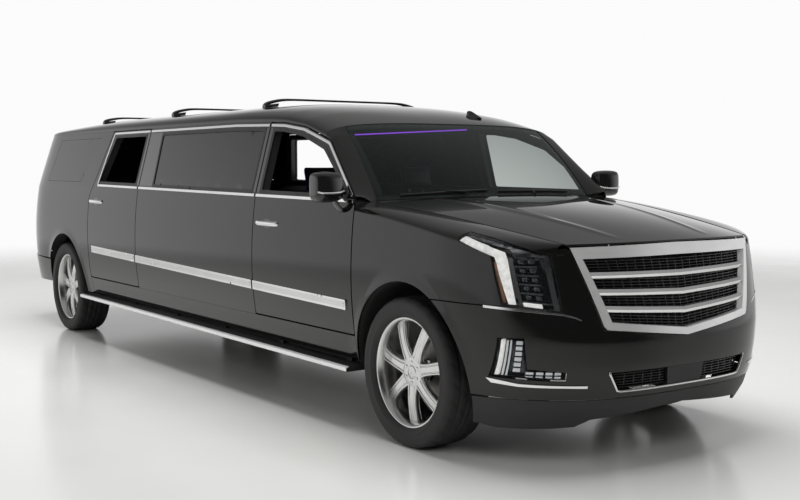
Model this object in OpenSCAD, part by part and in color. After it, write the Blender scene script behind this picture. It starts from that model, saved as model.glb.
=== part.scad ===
// Stretch limousine on a large sport-utility body, in millimetres.
// +X is forward, +Y is the left side, +Z is up. The origin is on the ground,
// midway between the nose and the tail.

/* [Length] */
// Distance between the two axles
wheelbase = 5380; // [4500:10:6600]
// Nose ahead of the front axle
front_overhang = 1050; // [1000:10:1200]
// Tail behind the rear axle
rear_overhang = 1350; // [1250:10:1600]
// Length of each front door
front_door_len = 1185; // [950:5:1400]
// Length of each rear door
rear_door_len = 1070; // [900:5:1300]

/* [Body] */
// Width over the widest part of the sides
body_width = 2044; // [1850:2:2450]
// How far the belt line sits in from the widest part
belt_tuck = 32; // [10:1:60]
// How far the sill sits in from the widest part
sill_tuck = 53; // [20:1:80]
// Inward lean of the side windows, as a slope
side_lean = 0.27; // [0.15:0.01:0.35]
// Height of the roof over the ground
roof_z = 1935; // [1850:5:2200]
// Height of the belt line
belt_z = 1310; // [1250:5:1380]
// Height of the widest part of the sides
waist_z = 880; // [820:5:950]
// Height of the lower edge of the doors
door_bottom_z = 546; // [520:2:600]
// Height of the lower edge of the sills
sill_z = 400; // [360:5:430]
// Thickness of the doors
door_t = 130; // [100:1:160]
// Thickness of the fixed cabin walls
wall_t = 110; // [90:1:140]
// Thickness of the outer sheet
skin_t = 6; // [4:0.5:8]
// Gap around doors, hood and tailgate
shut_gap = 9; // [8:0.5:14]

/* [Wheels] */
// Distance between the wheel centres across the car
track = 1744; // [1600:2:2050]
// Outer radius of the tyres
tyre_r = 407; // [340:1:430]
// Width of the tyres
tyre_w = 285; // [225:1:320]
// Radius of the rim flange
rim_r = 297; // [240:1:310]
// Width of the rim between the flanges
rim_w = 236; // [200:1:260]
// Radius of the wheel arches
arch_r = 490; // [480:1:520]
// Number of spokes
spokes = 7; // [5:1:12]

/* [Plate bracket] */
// Hole spacing of the licence-plate bracket across the car
plate_dx = 178; // [150:1:200]
// Hole spacing of the licence-plate bracket up the car
plate_dz = 121; // [100:1:140]
// Radius of the bracket's holes
plate_hole_r = 3.5; // [2:0.1:5]

/* [Hidden] */
$fn = 48;

far = 3000;
seat_gap = 0.3;
pin_gap = 0.06;

// Stations along the car
car_len = front_overhang + wheelbase + rear_overhang;
nose_x = car_len / 2;
tail_x = -car_len / 2;
front_axle_x = nose_x - front_overhang;
rear_axle_x = tail_x + rear_overhang;
hinge_line_x = front_axle_x - 505;
front_door_end_x = hinge_line_x - front_door_len;
rear_door_end_x = rear_axle_x + 630;
rear_door_start_x = rear_door_end_x + rear_door_len;
half_w = body_width / 2;
belt_w = half_w - belt_tuck;
axle_z = tyre_r - 5.4;
wheel_y = track / 2;

// Heights along the sides
sill_top_z = door_bottom_z - shut_gap;
eave_z = 1800 + (roof_z - 1935);
top_trim = 8;
bar_front_x = hinge_line_x - 1685;
bar_rear_x = rear_axle_x + 90;
pillar_line = [
    [-far * 2, eave_z - top_trim],
    [bar_front_x, eave_z - top_trim],
    [hinge_line_x - 1185, eave_z - 20],
    [hinge_line_x - 1000, eave_z - 28],
    [hinge_line_x - 735, eave_z - 60],
    [hinge_line_x - 403, eave_z - 150],
    [hinge_line_x, belt_z + 10]
];
function frame_top(x) = lookup(x, pillar_line);

// Half width of the body at a height: bowed below the belt, a straight lean above it
function side_y(z) =
    z > belt_z ? belt_w - side_lean * (z - belt_z)
    : z > waist_z ? half_w - belt_tuck * pow((z - waist_z) / (belt_z - waist_z), 2)
    : half_w - sill_tuck * pow((waist_z - z) / (waist_z - sill_z), 2);

bow_steps = 8;
low_z = 190;
side_zs = concat(
    [low_z],
    [for (i = [0:bow_steps / 2 - 1]) sill_z + (waist_z - sill_z) * i / (bow_steps / 2)],
    [for (i = [0:bow_steps / 2]) waist_z + (belt_z - waist_z) * i / (bow_steps / 2)],
    [eave_z]
);

side_profile = [for (z = side_zs) [z, side_y(z)]];
// Half width of the flat strips that the side is made of
function skin_y(z) = lookup(z, side_profile);

// A wall between two depths under the outer face of the left side, from end to end
module band(t0, t1) {
    zs = side_zs;
    n = len(zs) - 1;
    outer = [for (z = zs) [side_y(z) - t0, z]];
    inner = [for (i = [n:-1:0]) [side_y(zs[i]) - t1, zs[i]]];
    front_prism(concat(outer, inner), -far * 2, far * 2);
}

// A prism along X of an outline given as [y, z]
module front_prism(pts, x0, x1)
    translate([x0, 0, 0]) rotate([90, 0, 90]) linear_extrude(x1 - x0) polygon(pts);

// A prism along Y of an outline given as [x, z]
module side_prism(pts, y0, y1)
    translate([0, y1, 0]) rotate([90, 0, 0]) linear_extrude(y1 - y0) polygon(pts);

// A piece of the left side's wall inside an outline [x, z]
module wall(pts, t0, t1)
    intersection() {
        side_prism(pts, 500, far / 2);
        band(t0, t1);
    }

module both_sides() {
    children();
    mirror([0, 1, 0]) children();
}

module block(x0, x1, y0, y1, z0, z1)
    translate([x0, y0, z0]) cube([x1 - x0, y1 - y0, z1 - z0]);

module rod_y(x, z, y0, y1, r)
    translate([x, y1, z]) rotate([90, 0, 0]) cylinder(h = y1 - y0, r = r);

// A closed shell between two grids of points with the same rows and columns
module shell(outer, inner) {
    n = len(outer);
    m = len(outer[0]);
    function o(i, j) = i * m + j;
    function q(i, j) = n * m + i * m + j;
    function two(a, b, c, d) = [[a, b, c], [a, c, d]];
    skin = [for (i = [0:n - 2]) for (j = [0:m - 2])
        each two(o(i, j), o(i, j + 1), o(i + 1, j + 1), o(i + 1, j))];
    back = [for (i = [0:n - 2]) for (j = [0:m - 2])
        each two(q(i, j), q(i + 1, j), q(i + 1, j + 1), q(i, j + 1))];
    low = [for (j = [0:m - 2]) each two(o(0, j + 1), o(0, j), q(0, j), q(0, j + 1))];
    top = [for (j = [0:m - 2])
        each two(o(n - 1, j), o(n - 1, j + 1), q(n - 1, j + 1), q(n - 1, j))];
    start = [for (i = [0:n - 2]) each two(o(i, 0), o(i + 1, 0), q(i + 1, 0), q(i, 0))];
    end = [for (i = [0:n - 2])
        each two(o(i + 1, m - 1), o(i, m - 1), q(i, m - 1), q(i + 1, m - 1))];
    polyhedron(
        points = concat([for (row = outer) each row], [for (row = inner) each row]),
        faces = concat(skin, back, low, top, start, end)
    );
}

// Nose surface: at each height the plan is a superellipse ahead of nose_mid_x
nose_power = 2.8;
nose_mid_x = front_axle_x + 200;
nose_line = [
    [low_z, nose_x - 110], [300, nose_x - 40], [420, nose_x - 8], [520, nose_x],
    [650, nose_x], [800, nose_x - 22], [950, nose_x - 52], [1116, nose_x - 90],
    [1400, nose_x - 170]
];
nose_cols = 14;
nose_zs = [for (z = side_zs) if (z <= 1100) z];
function nose_reach(z) = lookup(z, nose_line) - nose_mid_x;
// A point of the nose at an angle from straight ahead, moved in by t
function nose_point(a, z, t) = [
    nose_mid_x + (nose_reach(z) - t) * pow(cos(a), 2 / nose_power),
    sign(a) * (side_y(z) - t) * pow(abs(sin(a)), 2 / nose_power),
    z
];
function nose_edge_x(y, z) =
    nose_mid_x + nose_reach(z) * pow(1 - pow(abs(y) / side_y(z), nose_power), 1 / nose_power);
function nose_row(z, t, x0) = concat(
    [[x0, side_y(z) - t, z]],
    [for (j = [nose_cols:-1:-nose_cols]) nose_point(90 * j / nose_cols, z, t)],
    [[x0, -side_y(z) + t, z]]
);
crest_zs = concat(nose_zs, [1100, 1150, 1200, 1250, 1300]);
module nose_shell(t0, t1, x0, zs) {
    shell([for (z = zs) nose_row(z, t0, x0)], [for (z = zs) nose_row(z, t1, x0)]);
}

// Tail surface: the same idea with a squarer plan
tail_power = 4;
tail_mid_x = rear_axle_x - 360;
tail_line = [
    [300, tail_x + 20], [420, tail_x], [645, tail_x], [652, tail_x + 42],
    [1000, tail_x + 60], [belt_z, tail_x + 100],
    [1400, tail_x + 120], [1700, tail_x + 230], [eave_z, tail_x + 275]
];
tail_cols = 12;
tail_zs = concat([for (z = side_zs) if (z >= sill_z && z < eave_z) z], [1480, 1640, eave_z]);
function tail_reach(z) = tail_mid_x - lookup(z, tail_line);
function tail_point(a, z, t) = [
    tail_mid_x - (tail_reach(z) - t) * pow(cos(a), 2 / tail_power),
    -sign(a) * (side_y(z) - t) * pow(abs(sin(a)), 2 / tail_power),
    z
];
function tail_row(z, t, x0) = concat(
    [[x0, -side_y(z) + t, z]],
    [for (j = [tail_cols:-1:-tail_cols]) tail_point(90 * j / tail_cols, z, t)],
    [[x0, side_y(z) - t, z]]
);
module tail_shell(t0, t1, x0, zs)
    shell([for (z = zs) tail_row(z, t0, x0)], [for (z = zs) tail_row(z, t1, x0)]);

module arch_cuts(more = 0)
    for (x = [front_axle_x, rear_axle_x]) rod_y(x, axle_z, -far, far, arch_r + more);

// ---------------------------------------------------------------- chassis

rail_y = 420;
rail_w = 80;
rail_h = 130;
rail_z = 340;
kick_z = axle_z + 130;
rear_rail_z = kick_z + 20;
floor_low_z = rail_z + rail_h;
floor_high_z = rear_rail_z + rail_h;
floor_t = 10;
floor_step_x = rear_axle_x + 680;
firewall_x = front_axle_x - 500;
frame_end_x = tail_x + 160;
frame_start_x = nose_x - 240;

module chassis_rails() color("#2b2c2e") {
    pts = [
        [frame_end_x, kick_z], [rear_axle_x - 420, kick_z], [rear_axle_x - 300, rear_rail_z],
        [rear_axle_x + 300, rear_rail_z], [rear_axle_x + 620, rail_z],
        [front_axle_x - 460, rail_z], [front_axle_x - 250, kick_z],
        [frame_start_x, kick_z],
        [frame_start_x, kick_z + rail_h], [front_axle_x - 290, kick_z + rail_h],
        [front_axle_x - 490, rail_z + rail_h],
        [rear_axle_x + 660, rail_z + rail_h], [rear_axle_x + 330, rear_rail_z + rail_h],
        [rear_axle_x - 330, rear_rail_z + rail_h], [rear_axle_x - 440, kick_z + rail_h],
        [frame_end_x, kick_z + rail_h]
    ];
    both_sides() side_prism(pts, rail_y - rail_w / 2, rail_y + rail_w / 2);
}

module crossmembers() color("#2b2c2e") {
    cross = rail_y - rail_w / 2 - seat_gap;
    for (i = [0:4]) {
        x = rear_axle_x + 760 + (wheelbase - 1560) * i / 4;
        block(x - 60, x + 60, -cross, cross, rail_z, rail_z + 24);
    }
    block(frame_end_x + 40, frame_end_x + 110, -cross, cross, kick_z + 20, kick_z + rail_h - 20);
    block(frame_start_x - 60, frame_start_x, -cross, cross, kick_z + 20, kick_z + rail_h - 20);
    // Tow receiver: a square socket under the tail
    difference() {
        block(tail_x + 60, frame_end_x + 80, -38, 38, kick_z - 62, kick_z + 14);
        block(tail_x, frame_end_x - 20, -25.4, 25.4, kick_z - 49.4, kick_z + 1.4);
    }
    block(frame_end_x + 40, frame_end_x + 110, -38, 38, kick_z - 62, kick_z + 30);
    // Body mounts between the rails and the sills
    for (i = [0:3]) both_sides() {
        x = rear_axle_x + 800 + (wheelbase - 1700) * i / 3;
        block(x - 30, x + 30, rail_y + rail_w / 2 + seat_gap, skin_y(sill_z) - door_t - seat_gap,
            rail_z + 60, rail_z + 110);
    }
}

liner_t = 5;
liner_in_y = 690;
module floor_pan() color("#26272a") {
    in_y = skin_y(floor_low_z) - door_t - seat_gap;
    well_y = liner_in_y;
    cowl_top = belt_z - 60;
    block(floor_step_x, firewall_x, -in_y, in_y, floor_low_z, floor_low_z + floor_t);
    block(floor_step_x - floor_t, floor_step_x, -in_y, in_y, floor_low_z, floor_high_z + floor_t);
    block(frame_end_x + 60, floor_step_x, -well_y, well_y, floor_high_z, floor_high_z + floor_t);
    // Wheel housings of the rear axle
    both_sides() intersection() {
        difference() {
            rod_y(rear_axle_x, axle_z, well_y - liner_t, side_y(axle_z) - wall_t - seat_gap,
                arch_r + liner_t);
            rod_y(rear_axle_x, axle_z, well_y, far, arch_r);
        }
        block(-far * 2, floor_step_x, 0, far, floor_high_z, far);
    }
    // Firewall and the shelf under the windscreen
    block(firewall_x - 15, firewall_x, -in_y, in_y, floor_low_z, cowl_top);
    block(firewall_x - 15, hinge_line_x + 60, -830, 830, cowl_top - 12, cowl_top);
}

gearbox_end_x = front_axle_x - 1200;
module engine_block() color("#55585c") {
    block(front_axle_x - 220, front_axle_x + 420, -rail_y + rail_w / 2, rail_y - rail_w / 2,
        kick_z + 30, 960);
    block(front_axle_x - 420, front_axle_x - 200, -140, 140, kick_z - 160, kick_z + 60);
    block(gearbox_end_x, front_axle_x - 400, -110, 110, rail_z + 24, floor_low_z - seat_gap);
}

module fuel_tank() color("#303236")
    block(rear_axle_x + 1100, rear_axle_x + 2000, rail_y + rail_w / 2 + seat_gap, 800, 290, 395);

module exhaust() color("#8d8f92") {
    pipe_r = 35;
    y = -700;
    z = 330;
    translate([rear_axle_x + 640, y, z]) rotate([0, 90, 0])
        cylinder(h = front_axle_x - rear_axle_x - 1300, r = pipe_r);
    translate([front_axle_x - 1700, y, z]) rotate([0, 90, 0]) cylinder(h = 700, r = 75);
    for (i = [0:2]) {
        x = rear_axle_x + 900 + (wheelbase - 2000) * i / 2;
        block(x - 15, x + 15, y, -rail_y - rail_w / 2 - seat_gap, z + 20, z + 50);
    }
}

diff_r = 140;
module driveshaft() color("#6d7074")
    translate([rear_axle_x + diff_r + seat_gap, 0, axle_z]) rotate([0, 90, 0])
        cylinder(h = gearbox_end_x - rear_axle_x - diff_r - 2 * seat_gap, r = 34);

hub_bore_r = 30;
axle_end_y = wheel_y + 60;
module rear_axle() color("#3a3c40") {
    rod_y(rear_axle_x, axle_z, -axle_end_y, axle_end_y, hub_bore_r - pin_gap);
    rod_y(rear_axle_x, axle_z, -wheel_y + 125, wheel_y - 125, 45);
    rod_y(rear_axle_x, axle_z, -110, 110, diff_r);
    spring_h = rear_rail_z - axle_z - 45 - seat_gap;
    both_sides() translate([rear_axle_x, rail_y, axle_z + 35]) cylinder(h = spring_h + 10, r = 60);
    // Trailing links
    both_sides() block(rear_axle_x, rear_axle_x + 560, 560, 610, axle_z - 30, axle_z + 20);
    both_sides() block(rear_axle_x + 500, rear_axle_x + 560, rail_y + rail_w / 2 + seat_gap, 610,
        axle_z - 30, axle_z + 20);
}

// ---------------------------------------------------------------- steering

king_y = wheel_y - 102;
king_r = 16;
knuckle_h = 120;
arm_t = 24;

module front_suspension() color("#3a3c40") both_sides() {
    for (s = [-1, 1]) {
        z0 = axle_z + s * (knuckle_h + seat_gap) + (s > 0 ? 0 : -arm_t);
        difference() {
            union() {
                translate([front_axle_x, king_y, z0]) cylinder(h = arm_t, r = 34);
                block(front_axle_x - 30, front_axle_x + 30, rail_y + rail_w / 2 + seat_gap, king_y,
                    z0, z0 + arm_t);
            }
            translate([front_axle_x, king_y, z0 - 1]) cylinder(h = arm_t + 2, r = king_r + pin_gap);
        }
    }
    // Subframe leg that carries the lower arm
    block(front_axle_x - 60, front_axle_x + 60, rail_y - rail_w / 2, rail_y + rail_w / 2,
        axle_z - knuckle_h - arm_t - seat_gap, kick_z - seat_gap);
}

module knuckle() color("#505358") {
    translate([front_axle_x, king_y, axle_z - knuckle_h]) cylinder(h = knuckle_h * 2, r = 32);
    block(front_axle_x - 32, front_axle_x + 32, king_y - 10, king_y + 45, axle_z - 70, axle_z + 70);
    translate([front_axle_x, king_y, axle_z - knuckle_h - arm_t])
        cylinder(h = 2 * (knuckle_h + arm_t), r = king_r);
    rod_y(front_axle_x, axle_z, king_y, axle_end_y, hub_bore_r - pin_gap);
    // Brake caliper ahead of the disc
    block(front_axle_x + 60, front_axle_x + 185, king_y + 20, king_y + 62, axle_z - 60, axle_z + 60);
    block(front_axle_x, front_axle_x + 70, king_y + 20, king_y + 45, axle_z - 40, axle_z + 40);
}

module knuckle_left() knuckle();
module knuckle_right() mirror([0, 1, 0]) knuckle();

bead_r = rim_r - 12;
module tyre(x) color("#1b1b1c") translate([x, wheel_y, axle_z]) rotate([90, 0, 0])
    rotate_extrude($fn = 96) polygon([
        [bead_r, -rim_w / 2 + 7], [bead_r + 18, -rim_w / 2 + 7],
        [(rim_r + tyre_r) / 2, -tyre_w / 2], [tyre_r - 28, -tyre_w / 2 + 4],
        [tyre_r - 6, -tyre_w / 2 + 20], [tyre_r, -tyre_w / 2 + 42],
        [tyre_r, tyre_w / 2 - 42], [tyre_r - 6, tyre_w / 2 - 20],
        [tyre_r - 28, tyre_w / 2 - 4], [(rim_r + tyre_r) / 2, tyre_w / 2],
        [bead_r + 18, rim_w / 2 - 7], [bead_r, rim_w / 2 - 7]
    ]);

disc_r = 165;
// A wheel seen from outside: barrel, spokes, hub and brake disc
module wheel(x) color("#c9ccd0") translate([x, wheel_y, axle_z]) rotate([-90, 0, 0]) {
    face = rim_w / 2 - 34;
    barrel_r = bead_r - seat_gap;
    difference() {
        union() {
            rotate_extrude($fn = 96) polygon([
                [barrel_r - 14, -rim_w / 2], [rim_r, -rim_w / 2], [rim_r, -rim_w / 2 + 6],
                [barrel_r, -rim_w / 2 + 6], [barrel_r, rim_w / 2 - 6], [rim_r, rim_w / 2 - 6],
                [rim_r, rim_w / 2], [barrel_r - 14, rim_w / 2]
            ]);
            translate([0, 0, face - 34]) linear_extrude(34) difference() {
                circle(r = barrel_r - 10);
                for (i = [0:spokes - 1]) rotate(360 * (i + 0.5) / spokes) polygon([
                    [92, -16], [barrel_r - 26, -86], [barrel_r - 14, -60], [barrel_r - 10, 0],
                    [barrel_r - 14, 60], [barrel_r - 26, 86], [92, 16]
                ]);
            }
            translate([0, 0, -34]) cylinder(h = face + 34, r = 62);
            translate([0, 0, -34]) cylinder(h = 26, r = disc_r);
        }
        translate([0, 0, -far]) cylinder(h = far + 60 + pin_gap, r = hub_bore_r);
    }
}

module tyre_front_left() tyre(front_axle_x);
module tyre_rear_left() tyre(rear_axle_x);
module tyre_front_right() mirror([0, 1, 0]) tyre(front_axle_x);
module tyre_rear_right() mirror([0, 1, 0]) tyre(rear_axle_x);
module wheel_front_left() wheel(front_axle_x);
module wheel_rear_left() wheel(rear_axle_x);
module wheel_front_right() mirror([0, 1, 0]) wheel(front_axle_x);
module wheel_rear_right() mirror([0, 1, 0]) wheel(rear_axle_x);

// ---------------------------------------------------------------- hinges of the doors

hinge_back = 46;
hinge_in = 34;
hinge_y = half_w - hinge_in;
hinge_zs = [waist_z - 170, waist_z + 250];
arm_h = 36;
arm_half = 7;
arm_len = 134;
post_len = 95;
post_t = 160;
post_top_z = belt_z - 90;
knuckle_r = 11;
hinge_pin_r = 5;
pillar_in = 18;

// A fixed arm that reaches from the pillar to the pin, for the left side
module hinge_arm(door_x)
    for (z = hinge_zs) translate([door_x - hinge_back, hinge_y, z - arm_h / 2])
        linear_extrude(arm_h) difference() {
            union() {
                circle(r = knuckle_r);
                rotate(-60) translate([0, -arm_half]) square([arm_len, 2 * arm_half]);
            }
            circle(r = hinge_pin_r + pin_gap);
        }

// The post that carries the arms, ahead of a door
module hinge_post(door_x)
    wall([[door_x + pillar_in, sill_top_z], [door_x + post_len, sill_top_z],
        [door_x + post_len, post_top_z], [door_x + pillar_in, post_top_z]],
        skin_t + seat_gap, post_t);

module hinge_notch(door_x)
    for (z = hinge_zs) block(
        door_x - hinge_back - 18, door_x + 1, hinge_y - 90, hinge_y + 14,
        z - arm_h / 2 - seat_gap, z + arm_h / 2 + seat_gap
    );

module hinge_pin(door_x)
    for (z = hinge_zs) translate([door_x - hinge_back, hinge_y, z - arm_h / 2 - 4])
        cylinder(h = arm_h + 8, r = hinge_pin_r);

// ---------------------------------------------------------------- doors

door_step = 20;
door_skin_t = 8;
frame_depth = 60;
glass_edge = 45;
window_low_z = belt_z + 20;
rake = 0.009;
function sash_z(x) = window_low_z + rake * (hinge_line_x - x);

// Outline [x, z] of the front door, drawn in by e
function front_door_pts(e) = concat(
    [[front_door_end_x + e, door_bottom_z + e], [hinge_line_x - e, door_bottom_z + e],
        [hinge_line_x - e, belt_z + 10 - e]],
    [for (d = [403, 735, 1000]) [hinge_line_x - d - e / 2, frame_top(hinge_line_x - d) - 1.1 * e]],
    [[front_door_end_x + e, frame_top(front_door_end_x) - e]]
);
front_window_pts = [
    [front_door_end_x + 60, sash_z(front_door_end_x)], [hinge_line_x - 90, sash_z(hinge_line_x)],
    [hinge_line_x - 90, belt_z + 38],
    [hinge_line_x - 450, frame_top(hinge_line_x - 450) - glass_edge * 1.3],
    [hinge_line_x - 735, frame_top(hinge_line_x - 735) - glass_edge * 1.1],
    [hinge_line_x - 1000, frame_top(hinge_line_x - 1000) - glass_edge],
    [front_door_end_x + 60, frame_top(front_door_end_x + 60) - glass_edge]
];
rear_slant = 265;
function rear_door_pts(e) = [
    [rear_door_end_x + e, door_bottom_z + e], [rear_door_start_x - e, door_bottom_z + e],
    [rear_door_start_x - e, eave_z - top_trim - e],
    [rear_door_end_x + rear_slant + e, eave_z - top_trim - e],
    [rear_door_end_x + 60 + e, belt_z + 20], [rear_door_end_x + e, belt_z - 60]
];
rear_window_pts = [
    [rear_door_end_x + 175, sash_z(rear_door_end_x)], [rear_door_start_x - 60, sash_z(rear_door_start_x)],
    [rear_door_start_x - 60, eave_z - top_trim - glass_edge],
    [rear_door_end_x + rear_slant + 90, eave_z - top_trim - glass_edge]
];

handle_len = 280;
handle_h = 34;
module handle(x, z) {
    y = side_y(z);
    block(x, x + handle_len, y - 4, y + 26, z, z + handle_h);
}

strip_h = 58;
strip_proud = 9;
function strip_z(x) = 711 + 0.02 * (hinge_line_x - 55 - x) - strip_h / 2;
module strip(x0, x1) intersection() {
    side_prism([[x0, strip_z(x0)], [x1, strip_z(x1)], [x1, strip_z(x1) + strip_h],
        [x0, strip_z(x0) + strip_h]], 500, far / 2);
    band(-strip_proud, 2);
}

// Skin, thick core and window frame of a left door
module door_body(full, core, window, door_x) {
    difference() {
        union() {
            wall(full, 0, door_skin_t);
            intersection() {
                wall(core, door_skin_t / 2, door_t);
                block(-far * 2, far * 2, 0, far, 0, belt_z);
            }
            intersection() {
                wall(core, door_skin_t / 2, frame_depth);
                block(-far * 2, far * 2, 0, far, belt_z - 1, far);
            }
        }
        side_prism(window, 500, far / 2);
        hinge_notch(door_x);
    }
    hinge_pin(door_x);
}

module front_door() color("#17171a") {
    door_body(front_door_pts(0), front_door_pts(door_step), front_window_pts, hinge_line_x);
    handle(front_door_end_x + 45, 1122);
    strip(front_door_end_x + 6, hinge_line_x - 55);
}
module rear_door() color("#17171a") {
    door_body(rear_door_pts(0), rear_door_pts(door_step), rear_window_pts, rear_door_start_x);
    handle(rear_door_end_x + 36, 1186);
    strip(rear_door_end_x + 98, rear_door_start_x - 6);
}
module front_door_left() front_door();
module front_door_right() mirror([0, 1, 0]) front_door();
module rear_door_left() rear_door();
module rear_door_right() mirror([0, 1, 0]) rear_door();

mirror_x = hinge_line_x - 100;
module mirror_body() color("#141416") {
    z = belt_z + 2;
    y0 = side_y(z - 40) + seat_gap;
    hull() {
        translate([mirror_x - 40, y0 + 28, z + 70]) sphere(r = 22, $fn = 20);
        translate([mirror_x - 40, y0 + 170, z + 60]) sphere(r = 30, $fn = 20);
        translate([mirror_x - 35, y0 + 170, z + 130]) sphere(r = 28, $fn = 20);
        translate([mirror_x - 35, y0 + 36, z + 132]) sphere(r = 26, $fn = 20);
        translate([mirror_x + 10, y0 + 100, z + 95]) sphere(r = 40, $fn = 20);
    }
    // Stalk down to the door skin
    side_prism([[mirror_x - 60, z - 80], [mirror_x + 40, z - 80], [mirror_x + 20, z + 60],
        [mirror_x - 50, z + 60]], y0 + 20, y0 + 60);
    block(mirror_x - 70, mirror_x + 50, skin_y(z - 90) + seat_gap, y0 + 30, z - 90, z - 45);
}
module mirror_left() mirror_body();
module mirror_right() mirror([0, 1, 0]) mirror_body();

// ---------------------------------------------------------------- fixed body

module body_sides() color("#17171a") {
    sill_x0 = rear_door_end_x - shut_gap + seat_gap;
    sill_x1 = hinge_line_x + shut_gap - seat_gap;
    both_sides() {
        wall([[sill_x0, sill_z], [sill_x1, sill_z], [sill_x1, sill_top_z], [sill_x0, sill_top_z]],
            0, door_t);
        difference() {
            union() {
                hinge_post(hinge_line_x);
                hinge_arm(hinge_line_x);
            }
            arch_cuts(liner_t + seat_gap);
        }
        screen_pillar();
    }
    hood_brackets();
    gate_lugs();
}

header_x = hinge_line_x - 409;
header_sweep = 50;
cowl_z = belt_z + 13;
screen_x = hinge_line_x + 88;
function eave(x) = frame_top(x) + top_trim;
function crown(x) =
    let (d = x - bar_front_x, r = rear_axle_x + 1040 - x)
    d > 0 ? roof_z - 169 * pow(d / 1276, 2.4)
    : r > 0 ? roof_z - 82 * pow(r / 2000, 2)
    : roof_z;
function eave_y(x) =
    let (z = eave(x), d = tail_mid_x - x)
    side_y(z) * (d > 0 ? pow(1 - pow(d / tail_reach(z), tail_power), 1 / tail_power) : 1);
roof_power = 2.6;
function roof_at(x, t, drop) = [
    x, t * (eave_y(x) - drop * 1.2),
    eave(x) + (crown(x) - drop - eave(x)) * pow(1 - pow(abs(t), roof_power), 1 / roof_power)
];
roof_cols = 9;
roof_ts = [for (j = [-roof_cols:roof_cols]) sin(90 * j / roof_cols)];
roof_end_x = tail_x + 330;
roof_xs = concat(
    [for (i = [0:5]) roof_end_x + (tail_mid_x + 50 - roof_end_x) * i / 5],
    [for (i = [0:3]) bar_rear_x + (bar_front_x - bar_rear_x) * i / 4],
    [bar_front_x],
    [for (d = [1420, 1185, 1000, 735, 560]) hinge_line_x - d]
);
function header_at(t) = header_x - header_sweep * t * t;

module roof() color("#151517")
    shell(
        concat([for (x = roof_xs) [for (t = roof_ts) roof_at(x, t, 0)]],
            [[for (t = roof_ts) roof_at(header_at(t), t, 0)]]),
        concat([for (x = roof_xs) [for (t = roof_ts) roof_at(x, t, 32)]],
            [[for (t = roof_ts) roof_at(header_at(t), t, 32)]])
    );

function mix(a, b, s) = a * (1 - s) + b * s;
screen_half = 835;
screen_cols = 6;
screen_bulge = 30;
function screen_low(t) = [screen_x - 98 * t * t, screen_half * t, cowl_z - 18 * t * t];
// The header's columns are the roof's own, so the two edges match
function screen_at(s, j, d) =
    let (t = j / screen_cols, r = roof_ts[roof_cols + j])
    mix(screen_low(t), roof_at(header_at(r), r, 0) + [seat_gap, 0, -2], s)
    + [1, 0, 1] * screen_bulge * 2 * s * (1 - s) - [0, 0, d];
// The fourth row lies on the kink of the pillar line
screen_ss = [0, 0.3, 0.6, (shut_gap + 403) / (hinge_line_x + shut_gap - header_x + header_sweep), 1];

module windscreen() color("#3c4247")
    shell([for (s = screen_ss) [for (j = [screen_cols:-1:-screen_cols]) screen_at(s, j, 0)]],
        [for (s = screen_ss) [for (j = [screen_cols:-1:-screen_cols]) screen_at(s, j, 7)]]);

// Pillar beside the windscreen, from its foot to the roof
pillar_t = 30;
module screen_pillar() {
    last = roof_cols - screen_cols;
    function outer(s) =
        let (x = mix(hinge_line_x + shut_gap, header_x - header_sweep, s))
        [x, side_y(eave(x)), eave(x)];
    function inner(s) = screen_at(s, screen_cols, 0) + [0, seat_gap, 0];
    function top(k) =
        let (r = roof_ts[2 * roof_cols - k]) roof_at(header_at(r), r, 0) + seat_gap * [3, 1, 0];
    function at(s, k, d) =
        let (c = k / last, flat = mix(outer(s), inner(s), c), end = mix(outer(1), inner(1), c))
        flat + (top(k) - end) * s + [0, 1, 1] * 24 * c * (1 - c) * (1 - s)
        - [0, d * (1 - c), d * pow(c, 3)];
    shell([for (s = screen_ss) [for (k = [0:last]) at(s, k, 0)]],
        [for (s = screen_ss) [for (k = [0:last]) at(s, k, pillar_t)]]);
}

// Top of the fenders and the hood
crest_drop = 169;
function crest(x) = belt_z - 10 - crest_drop * pow(max(0, x - hinge_line_x) / 1300, 1.3);
function hood_mid(x) = cowl_z + 2 - 203 * pow(max(0, x - hinge_line_x - 65) / 1400, 1.8);
hood_front_z = cowl_z - 207;
function hood_edge_y(s) = mix(850, 662, pow(s, 1.6));
function wall_y(x, z) =
    let (d = x - nose_mid_x)
    side_y(z) * (d > 0 ? pow(1 - pow(d / nose_reach(z), nose_power), 1 / nose_power) : 1);
hood_rear_x = hinge_line_x + 150;
function hood_x(s, t) =
    let (y = t * hood_edge_y(s))
    mix(hood_rear_x - 70 * t * t, nose_edge_x(y, hood_front_z) - 4, s);
function hood_at(s, t, d) =
    let (x = hood_x(s, t))
    [x, t * hood_edge_y(s), mix(hood_mid(x), crest(x), pow(abs(t), 2.2)) - d];
hood_ss = [for (i = [0:8]) i / 8];
hood_ts = [for (j = [-6:6]) j / 6];
hood_t = 22;
hood_lip_t = 9;
hood_pivot_x = hood_rear_x - 100;
hood_pivot_z = belt_z - 34;
hood_pivot_y = 760;

module hood() color("#17171a") {
    shell([for (s = hood_ss) [for (t = hood_ts) hood_at(s, t, 0)]],
        [for (s = hood_ss) [for (t = hood_ts) hood_at(s, t, mix(hood_t, hood_lip_t, s))]]);
    both_sides() {
        hull() {
            rod_y(hood_pivot_x, hood_pivot_z, hood_pivot_y - 12, hood_pivot_y, 10);
            block(hood_rear_x + 20, hood_rear_x + 80, hood_pivot_y - 12, hood_pivot_y,
                hood_pivot_z, hood_pivot_z + 10);
        }
        rod_y(hood_pivot_x, hood_pivot_z, hood_pivot_y - 1, hood_pivot_y + 24, 6);
    }
}

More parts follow.
